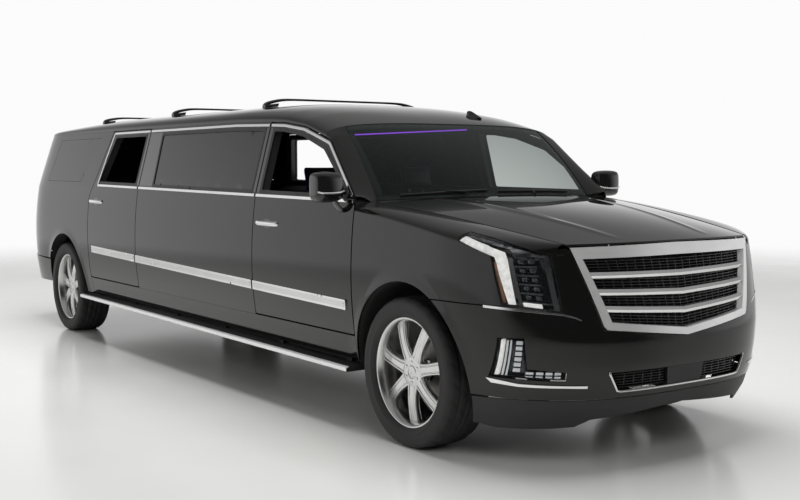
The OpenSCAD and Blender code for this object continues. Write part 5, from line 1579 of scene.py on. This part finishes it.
sheet_grid("cowl_panel", cowl, 8, 60, 4, trim_black, edge=1)
blades = [((-0.82, 0.022), (-0.10, 0.045), (-0.30, 0.0)), ((0.0, 0.03), (0.74, 0.03), (0.34, 0.0))]
for k, (a, b, pivot) in enumerate(blades):
    ends = [(a[0] + (b[0] - a[0]) * f, a[1] + (b[1] - a[1]) * f) for f in np.linspace(0, 1, 17)]
    sweep(f"wiper_blade_{k}", [screen_at(s, t, -9) for t, s in ends], oval(5, 7, 8), rubber)
    mid = ((a[0] + b[0]) / 2, (a[1] + b[1]) / 2)
    arm = [screen_low(pivot[0]) + Vector((14, 0, 4)), screen_at(mid[1] * 0.4, pivot[0], -20),
           screen_at(mid[1], mid[0], -19)]
    sweep(f"wiper_arm_{k}", arm, oval(8, 4, 8), rubber)
for side, word in ((1, "left"), (-1, "right")):
    for end, axle, y0 in (("front", FRONT_AXLE_X, 660), ("rear", REAR_AXLE_X, 906)):
        def inside(u, v, t, axle=axle, y0=y0, side=side):
            a = math.radians(-2 + 184 * u)
            r = ARCH_R + 3 + t
            x, z = axle + r * math.cos(a), AXLE_Z + r * math.sin(a)
            y1 = wall_y(x, z) if x > NOSE_MID else side_y(z)
            return x, side * (y0 + (y1 - 7 - y0) * v), z
        sheet_grid(f"{end}_liner_{word}", inside, 48, 8, 3, liner, edge=0)
        # splash shields close the view through the car before and behind each wheel
        y_in = 440 if end == "front" else 600
        shield = sorted((side * y_in, side * (y_in + 10)))
        block(f"{end}_shield_{word}_0", (axle + 345, shield[0], 240 if end == "front" else 385),
              (axle + 520, shield[1], 700), liner, edge=3)
        block(f"{end}_shield_{word}_1", (axle - 500, shield[0], 385), (axle - 345, shield[1], 700),
              liner, edge=3)
print("cowl and liners made")

# %% [markdown]
# Gloss black covers make the windows read as one band of glass. Each is a thin panel that stands
# a little proud of the paint.

# %% Gloss pillars between the windows
for side, word in ((1, "left"), (-1, "right")):
    pillars = [(f"front_door_{word}", FRONT_DOOR_END + 3, FRONT_DOOR_END + 40),
               ("root", STRETCH_X1 - 40, STRETCH_X1 - 3),
               ("root", STRETCH_X0 + 4, STRETCH_X0 + 255),
               (f"rear_door_{word}", REAR_DOOR_START - 42, REAR_DOOR_START - 3)]
    for k, (body, x0, x1) in enumerate(pillars):
        rim = [(x0, sash_z(x0) - 8), (x1, sash_z(x1) - 8), (x1, frame_top(x1) - 30),
               (x0, frame_top(x0) - 30)]
        panel(f"pillar_cover_{word}_{k}", rounded(rim, 4), side_at(side), piano, body,
              deep=(-1.5, 2), step=60, edge=0.8)
print("pillars covered")

# %% [markdown]
# ## The tail
# The tail has an upright tailgate with a dark pane, tall lamps beside it, a bumper with a step,
# and a bare bracket for a plate. The skins lie on one tail surface, so their gaps stay even.

# %% Rear bumper
rear_arch = [p for p in arch(REAR_AXLE_X, 200, 200, ARCH_R, 80)
             if p[0] < REAR_AXLE_X and SILL_Z + 1 < p[1] < 641]
rear_arch.sort(key=lambda p: p[1])


def to_tail_steps(points, step=40): return to_tail(stepped(points, step, False))


half = (to_tail_steps([(0, SILL_Z), (900, SILL_Z)]) + side_to_tail(rear_arch)
        + to_tail_steps([(960, 641), (0, 641)]))
panel("rear_bumper_skin", half + other_side(half)[1:-1], tail_at, paint,
      deep=(0, 14), step=34, stands_for=["rear_bumper"])
pad = to_tail_steps([(0, 600), (640, 600), (660, 634), (0, 634)])
panel("bumper_step", pad + other_side(pad)[1:-1], tail_at, trim_black, deep=(-4, 3), step=40,
      edge=2.5)
low = to_tail_steps([(0, 404), (820, 404), (800, 462), (0, 470)])
panel("bumper_lower_trim", low + other_side(low)[1:-1], tail_at, trim_black, deep=(-3, 3),
      step=40, edge=2)
for side, word in ((1, "left"), (-1, "right")):
    spot = to_tail_steps([(700, 500), (800, 500), (800, 524), (700, 524)], 60)
    panel(f"rear_reflector_{word}", spot if side > 0 else other_side(spot), tail_at, red_lens,
          deep=(-4, 4), step=40, edge=2)
print("rear bumper made")

# %% [markdown]
# The gate is a skin, a thick lining and a pane, like a door, with a spoiler that closes the roof
# line. The plate's bracket has four holes and stays bare.

# %% Tailgate
def gate_rim(e, low, top):
    side_line = [(gate_half - e, low), (gate_half - e, BELT_Z), (gate_edge(top) - e, top)]
    return to_tail_steps([(0, low)] + side_line + [(0, top)])


window_half = to_tail_steps([(0, BELT_Z + 40), (gate_half - 70, BELT_Z + 40),
                             (gate_top_half - 60, EAVE_Z - 70), (0, EAVE_Z - 70)])
gate_window = window_half + other_side(window_half)[1:-1]
rim = gate_rim(0, 653, 1796)
panel("tailgate_skin", rim + other_side(rim)[1:-1], tail_at, paint, "tailgate", [gate_window],
      (0, 8), 32, 3.0, ["tailgate"])
rim = gate_rim(24, 672, 1784)
panel("tailgate_lining", rim + other_side(rim)[1:-1], tail_at, trim_black, "tailgate",
      [gate_window], (8, 56), 40, 8.0)
panel("tailgate_pane", gate_window, tail_at, dark_glass, "tailgate", deep=(3, 8), step=60,
      edge=0, stands_for=["tailgate_glass"])
bar = to_tail_steps([(0, 1010), (700, 1010), (704, 1042), (0, 1046)])
panel("tailgate_bright_bar", bar + other_side(bar)[1:-1], tail_at, chrome, "tailgate",
      deep=(-9, 2), step=34, edge=4)
top_x, top_z = ROOF_END, crown(ROOF_END)
wing = [(top_x - 13, top_z - 4), (top_x - 60, top_z - 6), (top_x - 111, top_z - 12),
        (top_x - 110, top_z - 24), (top_x - 52, EAVE_Z - 11), (top_x - 13, EAVE_Z - 11)]
half_w = gate_top_half - 42
loft("tailgate_spoiler", [[(x, y, z - 14 * abs(y / half_w) ** 3) for x, z in wing]
                          for y in np.linspace(-half_w, half_w, 31)], paint, "tailgate", edge=4)
spots = [[(y + 3.6 * math.cos(a), z + 3.6 * math.sin(a)) for a in np.linspace(0, 6.283, 13)[:-1]]
         for y in (-89, 89) for z in (WAIST_Z - 60.5, WAIST_Z + 60.5)]
bracket = rounded([(-164, WAIST_Z - 79), (164, WAIST_Z - 79), (164, WAIST_Z + 79),
                   (-164, WAIST_Z + 79)], 10)
panel("plate_bracket", bracket, upright(-3844.5), trim_black, "tailgate", spots, (0, 40), 40, 1.5)
print("tailgate made")

# %% [markdown]
# A tall lamp stands at each side of the gate: one red body on the tail's curve, with raised
# cells on it.

# %% Tail lamps
for side, word in ((1, "left"), (-1, "right")):
    rim = to_tail_steps([(gate_half + GAP + 5, 932), (gate_half + GAP + LAMP_W - 1, 932),
                         (gate_half + GAP + LAMP_W - 1, BELT_Z),
                         (lamp_out[2][0] - 1, TAIL_LAMP_TOP - 2),
                         (lamp_in[0][0] + 1, TAIL_LAMP_TOP - 2), (gate_half + GAP + 5, BELT_Z)])
    panel(f"tail_lamp_{word}", rim if side > 0 else other_side(rim), tail_at, red_lens,
          deep=(0, 40), step=30, edge=4, stands_for=["tail_lamps"] if side > 0 else ())
    for k, z in enumerate((990, 1110, 1230, 1350, 1470, 1590)):
        edge_y = gate_edge(z) + GAP
        cell = to_tail_steps([(edge_y + 22, z), (edge_y + 66, z), (edge_y + 66, z + 84),
                              (edge_y + 22, z + 84)], 60)
        panel(f"tail_cell_{word}_{k}", cell if side > 0 else other_side(cell), tail_at,
              lens_glass if k == 1 else red_lens, deep=(-2, 8), step=60, edge=3)
print("tail lamps made")

# %% [markdown]
# ## Seats
# A cushion starts as a slightly small pillow: two domed grids that meet in a seam, with sides
# pulled in between the corners. It is remeshed into even cells and blown up like a balloon by a
# cloth simulation, which gives the taut skin of stuffed leather. The sewn channels are pressed
# in afterwards, because the remesh would close them. Each mesh is used for several seats.

# %% A cushion and its simulation
def pillow(name, length, width, height):
    def build(form):
        n = 16
        skins = []
        for up in (1, -1):
            skin = []
            for i in range(n + 1):
                row = []
                for j in range(n + 1):
                    u, v = (math.sin(math.pi * (k / n - 0.5)) for k in (i, j))
                    dome = ((1 - u ** 4) * (1 - v ** 4)) ** 0.35
                    x = u * length / 2 * (1 - 0.05 * (1 - v * v) * u * u)
                    y = v * width / 2 * (1 - 0.05 * (1 - u * u) * v * v)
                    row.append(form.verts.new((x * MM, y * MM, up * dome * height / 2 * MM)))
                skin.append(row)
            skins.append(skin)
            for i in range(n):
                for j in range(n):
                    form.faces.new([skin[i][j], skin[i + 1][j], skin[i + 1][j + 1],
                                    skin[i][j + 1]][::up])
        bmesh.ops.remove_doubles(form, verts=form.verts, dist=0.0004)
    return mesh_of(name, build)


def puffed(mesh, cap, cell=0.011, pressure=4.0):
    """Swells a closed mesh by cloth simulation, no point moving further than the cap."""
    scene = bpy.context.scene
    work = bpy.data.objects.new("work", mesh)
    scene.collection.objects.link(work)
    remesh = work.modifiers.new("even cells", "REMESH")
    remesh.mode, remesh.voxel_size = "VOXEL", cell
    graph = bpy.context.evaluated_depsgraph_get()
    even = bpy.data.meshes.new_from_object(work.evaluated_get(graph))
    work.modifiers.clear()
    work.data = even
    before = np.array([v.co for v in even.vertices])
    cloth = work.modifiers.new("cloth", "CLOTH")
    cloth.settings.use_pressure = True
    cloth.settings.uniform_pressure_force = pressure
    cloth.settings.effector_weights.gravity = 0
    cloth.point_cache.frame_start, cloth.point_cache.frame_end = 1, 20
    for frame_number in range(1, 21):
        scene.frame_set(frame_number)
    graph = bpy.context.evaluated_depsgraph_get()
    swollen = bpy.data.meshes.new_from_object(work.evaluated_get(graph))
    move = np.array([v.co for v in swollen.vertices]) - before
    far = np.linalg.norm(move, axis=1, keepdims=True)
    after = before + move * np.minimum(1, cap * MM / np.maximum(far, 1e-9))
    swollen.vertices.foreach_set("co", after.ravel())
    scene.frame_set(1)
    bpy.data.objects.remove(work)
    return swollen


def channelled(mesh, lines, depth=7, width=9):
    """Presses sewn channels into the upper side, across the cushion, at these x in mm."""
    for v in mesh.vertices:
        if v.co.z > 0:
            for line in lines:
                v.co.z -= depth * MM * math.exp(-((v.co.x / MM - line) / width) ** 2)
    return mesh


seat_pad = channelled(puffed(pillow("seat_pad", 490, 490, 118), 22), (-120, -40, 40, 120))
back_pad = channelled(puffed(pillow("back_pad", 590, 480, 112), 22), (-190, -110, -30, 50, 130))
bench_pad = channelled(puffed(pillow("bench_pad", 360, 515, 128), 22), (-90, 0, 90))
bench_back = channelled(puffed(pillow("bench_back", 390, 515, 88), 20), (-110, -20, 70))
head_pad = puffed(pillow("head_pad", 160, 260, 90), 12)
print("a seat pad has", len(seat_pad.polygons), "faces")

# %% [markdown]
# Each seat is a few of those cushions on a plain base. A matrix leans a cushion, turns it and
# sets it down, so one mesh serves several seats.

# %% Front seats, side bench and rear bench
def placed(name, mesh, centre, lean, turn=0.0, stands_for=()):
    """Leans a cushion back about its width, turns it about the vertical and sets it down."""
    copy = mesh.copy()
    copy.transform(Matrix.Translation(Vector(centre) * MM)
                   @ Matrix.Rotation(math.radians(turn), 4, "Z")
                   @ Matrix.Rotation(math.radians(lean), 4, "Y"))
    piece = finished(copy, name, black_leather, "root", stands_for)


FLOOR, REAR_FLOOR = 480.5, 692.0
for side, word in ((1, "left"), (-1, "right")):
    y = side * 400
    block(f"seat_base_{word}", (1150, y - 195, FLOOR), (1640, y + 195, 610), trim_black, edge=12)
    placed(f"seat_pad_{word}", seat_pad, (1448, y, 692), -3, 0,
           ["front_seats"] if side > 0 else ())
    placed(f"seat_back_{word}", back_pad, (1098, y, 1050), 77, 0)
    block(f"seat_shell_{word}", (962, y - 215, 640), (1010, y + 215, 1060), trim_black, edge=18)
    placed(f"head_pad_{word}", head_pad, (1000, y, 1412), 78)
    for k in (-1, 1):
        sweep(f"head_post_{word}_{k + 1}", [(1010, y + k * 60, 1290), (1000, y + k * 60, 1350)],
              oval(6, 6, 8), chrome, up=(1, 0, 0))
block("bench_base", (-715, 322, FLOOR), (895, 832, 700), trim_black, edge=10)
block("bench_wall", (-715, 790, 700), (895, 836, 1235), dash_leather, edge=14)
for k in range(3):
    x = -448 + 538 * k
    placed(f"bench_pad_{k}", bench_pad, (x, 486, 776), -2, -90,
           ["lounge_seats"] if k == 0 else ())
    placed(f"bench_back_{k}", bench_back, (x, 744, 1050), 79, -90)
block("rear_bench_base", (-2600, -655, REAR_FLOOR), (-2062, 655, 812), trim_black, edge=12)
for k in (-1, 0, 1):
    placed(f"rear_pad_{k + 1}", bench_pad, (-2256, k * 440, 876), -3, 0)
    placed(f"rear_back_{k + 1}", bench_back, (-2548, k * 440, 1120), 73, 0)
    placed(f"rear_head_{k + 1}", head_pad, (-2650, k * 440, 1362), 75)
print("seats made")

# %% [markdown]
# The dashboard is one section lofted across the cabin, with a hump over the gauges. The steering
# wheel is built round its tilted axis, so that it turns true with the column.

# %% Dashboard, console and steering wheel
dash = [(2322, 900), (2322, 1252), (2210, 1262), (2090, 1258), (2010, 1238), (1988, 1196),
        (2000, 1136), (2056, 1072), (2096, 980), (2140, 890)]
rings = []
for y in np.linspace(-814, 814, 35):
    hood_lift = 26 * math.exp(-((y - 400) / 150) ** 4)
    rings.append([(x - (8 * hood_lift / 26 if z > 1150 else 0), y,
                   z + (hood_lift if 2000 < x < 2250 and z > 1200 else 0)) for x, z in dash])
loft("dashboard_top", rings, dash_leather, stands_for=["dashboard"], edge=10)
block("dash_screen", (1976, -125, 1096), (1992, 125, 1226), piano, edge=4)
block("dash_gauges", (1978, 285, 1150), (1994, 515, 1236), piano, edge=6)
for k, y in enumerate((-700, -220, 190, 700)):
    block(f"vent_{k}", (1980, y - 62, 1146), (2006, y + 62, 1204), chrome, edge=4)
    for row in range(4):
        block(f"vent_slat_{k}_{row}", (1977, y - 54, 1153 + 12 * row),
              (1990, y + 54, 1159 + 12 * row), piano, edge=1)
block("console", (1330, -118, FLOOR), (2100, 118, 800), dash_leather, edge=22)
block("console_top", (1420, -84, 799), (2030, 84, 808), piano, edge=4)
wheel_axis = Vector((math.cos(math.radians(24)), 0, -math.sin(math.radians(24))))
wheel_up = wheel_axis.cross(Vector((0, 1, 0)))
hub_at = Vector((1840, 400, 1120))


def on_wheel(r, degrees, back=0.0):
    a = math.radians(degrees)
    return hub_at + Vector((0, r * math.cos(a), 0)) - wheel_up * r * math.sin(a) + wheel_axis * back


sweep("column", [hub_at + wheel_axis * d for d in (42, 130, 228)], oval(30, 30, 20), dash_leather)
sweep("steering_rim", [on_wheel(180, a) for a in range(0, 360, 6)], oval(14, 16, 12),
      dash_leather, "steering_wheel", True, ["steering_wheel"], tuple(wheel_axis))
softened(sweep("steering_hub", [hub_at + wheel_axis * d for d in (-12, 36)], oval(62, 54, 24),
               dash_leather, "steering_wheel"), 8)
for k, a in enumerate((0, 180, 270)):
    sweep(f"steering_spoke_{k}", [on_wheel(r, a, 6) for r in (40, 100, 172)], oval(16, 5, 10),
          wheel_silver, "steering_wheel", up=tuple(wheel_axis))
print("dashboard made")

# %% [markdown]
# Carpets are thin sheets on the floor. The coloured lines are thin glowing tubes along the
# walls, the floor and the bench.

# %% Carpets and coloured light lines
block("carpet_front", (-1856, -852, 480.3), (2322, 852, 487), carpet, edge=1)
block("carpet_rear", (-3655, -680, 691.8), (-1862, 680, 697), carpet, edge=1)
for side, word in ((1, "left"), (-1, "right")):
    for k, (z, colour) in enumerate(((EAVE_Z - 34, led_violet), (BELT_Z - 60, led_blue))):
        if k == 0 or side < 0:
            line = [side_at(side)(x, z, 62 if k == 0 else 112)
                    for x in np.linspace(STRETCH_X0 + 60, STRETCH_X1 - 60, 24)]
            sweep(f"wall_line_{word}_{k}", line, oval(5, 5, 6), colour)
    foot = [(x, side * 846, 500) for x in (-700, 100, 900)]
    if side < 0:
        sweep("floor_line", foot, oval(5, 5, 6), led_blue)
sweep("bench_line", [(x, 318, 650) for x in (-700, 100, 880)], oval(5, 5, 6), led_violet)
print("cabin lights made")

# %% [markdown]
# Axles, rails and the engine block already have their right shape. They keep the CAD mesh and
# only get a finish, which replaces the material in each slot.

# %% Finishes for the CAD parts that stay
STAYS = {"chassis_rails": underseal, "crossmembers": underseal, "floor_pan": liner,
         "rear_axle": cast_iron, "front_suspension": cast_iron, "knuckle_left": cast_iron,
         "knuckle_right": cast_iron, "fuel_tank": underseal, "driveshaft": steel,
         "engine_block": alloy, "exhaust": exhaust_steel}
for name, finish in STAYS.items():
    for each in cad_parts[name].material_slots:
        each.material = finish.mat
for side in (1, -1):
    y = side * 420
    block(f"gate_lug_{side + 1}", (-3586, y - 15, 1824), (-3561, y + 15, 1838), steel, edge=3)
print(len(STAYS), "CAD parts keep their shape")

# %% [markdown]
# ## Floor, light and camera
# Black paint shows only what it reflects, so the room matters as much as the car: a pale floor
# that shines a little, a white room all round, and large soft lamps overhead.

# %% Camera
camera = bpy.data.objects.new("camera", bpy.data.cameras.new("camera"))
bpy.context.scene.collection.objects.link(camera)
camera.data.lens, camera.data.sensor_width = 50.79, 36
camera.data.shift_y = 0.0101
yaw, pitch, roll = (math.radians(a) for a in (144.933, -4.653, -0.128))
look = Vector((math.cos(yaw) * math.cos(pitch), math.sin(yaw) * math.cos(pitch),
               math.sin(pitch)))
camera.matrix_world = (Matrix.Translation((7.683, -4.434, 1.498))
                       @ look.to_track_quat("-Z", "Y").to_matrix().to_4x4()
                       @ Matrix.Rotation(roll, 4, "Z"))
camera.data.clip_end = 200
bpy.context.scene.camera = camera
print("camera looks along", [round(c, 3) for c in look])

# %% [markdown]
# The floor fades out with distance, so that it meets the white room without an edge. The room is
# darker overhead and ahead of the car, because gloss black shows whatever stands there, and the
# lamps are kept out of reflections.

# %% Floor, room and lamps
floor_finish = Finish("pale floor", Base_Color=(0.62, 0.62, 0.60, 1), Roughness=0.16)
wear = floor_finish.noise(0.8, 5.0)
floor_finish.drive(Base_Color=floor_finish.colours(wear, (0.60, 0.60, 0.585), (0.66, 0.66, 0.645)),
                   Roughness=0.12 + 0.12 * wear)
spot = floor_finish.node("ShaderNodeNewGeometry", {}, {}, out="Position")
far = floor_finish.node("ShaderNodeVectorMath", {"operation": "LENGTH"}, {0: spot}, out="Value")
fade = floor_finish.node("ShaderNodeMapRange", {"interpolation_type": "SMOOTHSTEP"},
                         {"Value": far, "From Min": 7.0, "From Max": 15.0, "To Min": 1.0,
                          "To Max": 0.0})
floor_finish.drive(Alpha=fade)
plane = bpy.data.meshes.new("floor")
plane.from_pydata([(-30, -30, 0), (30, -30, 0), (30, 30, 0), (-30, 30, 0)], [], [(0, 1, 2, 3)])
plane.materials.append(floor_finish.mat)
floor = bpy.data.objects.new("floor", plane)
bpy.context.scene.collection.objects.link(floor)

world = bpy.data.worlds.new("room")
bpy.context.scene.world = world
world.use_nodes = True
tree = world.node_tree
rays = tree.nodes.new("ShaderNodeLightPath")
where = tree.nodes.new("ShaderNodeTexCoord")
split = tree.nodes.new("ShaderNodeSeparateXYZ")
tree.links.new(where.outputs["Generated"], split.inputs[0])
height = tree.nodes.new("ShaderNodeMapRange")
height.interpolation_type = "SMOOTHSTEP"
tree.links.new(split.outputs["Z"], height.inputs["Value"])
for key, value in (("From Min", 0.1), ("From Max", 0.42), ("To Min", 0.92), ("To Max", 0.3)):
    height.inputs[key].default_value = value
ahead = tree.nodes.new("ShaderNodeVectorMath")
ahead.operation = "DOT_PRODUCT"
tree.links.new(where.outputs["Generated"], ahead.inputs[0])
ahead.inputs[1].default_value = (0.95, -0.25, -0.15)
shade = tree.nodes.new("ShaderNodeMapRange")
shade.interpolation_type = "SMOOTHSTEP"
tree.links.new(ahead.outputs["Value"], shade.inputs["Value"])
for key, value in (("From Min", 0.25), ("From Max", 0.7), ("To Min", 1.0), ("To Max", 0.06)):
    shade.inputs[key].default_value = value
room = tree.nodes.new("ShaderNodeMath")
room.operation = "MULTIPLY"
tree.links.new(height.outputs[0], room.inputs[0])
tree.links.new(shade.outputs[0], room.inputs[1])
pick = tree.nodes.new("ShaderNodeMix")
tree.links.new(rays.outputs["Is Camera Ray"], pick.inputs[0])
tree.links.new(room.outputs[0], pick.inputs[2])
pick.inputs[3].default_value = 0.97
backdrop = tree.nodes["Background"]
backdrop.inputs["Color"].default_value = (1, 1, 1, 1)
tree.links.new(pick.outputs[0], backdrop.inputs["Strength"])


def lamp(name, place, aim, size, power):
    data = bpy.data.lights.new(name, "AREA")
    data.shape, data.size, data.size_y, data.energy = "RECTANGLE", size[0], size[1], power
    thing = bpy.data.objects.new(name, data)
    thing.visible_glossy = False
    thing.location = place
    thing.rotation_euler = (Vector(aim) - Vector(place)).to_track_quat("-Z", "Y").to_euler()
    bpy.context.scene.collection.objects.link(thing)


lamp("ceiling", (0, 0, 6.5), (0, 0, 0), (9, 4), 760)
lamp("front fill", (9, -3, 5), (2, 0, 0.8), (4, 3), 160)
lamp("side fill", (2, -9, 5), (0, 0, 1), (7, 2.5), 130)
bpy.context.scene.view_settings.view_transform = "Standard"
print("room ready")

# %% [markdown]
# ## Pieces made
# The last cell prints how many pieces were made.

# %% Count of pieces
print(len(made_pieces), "pieces made")
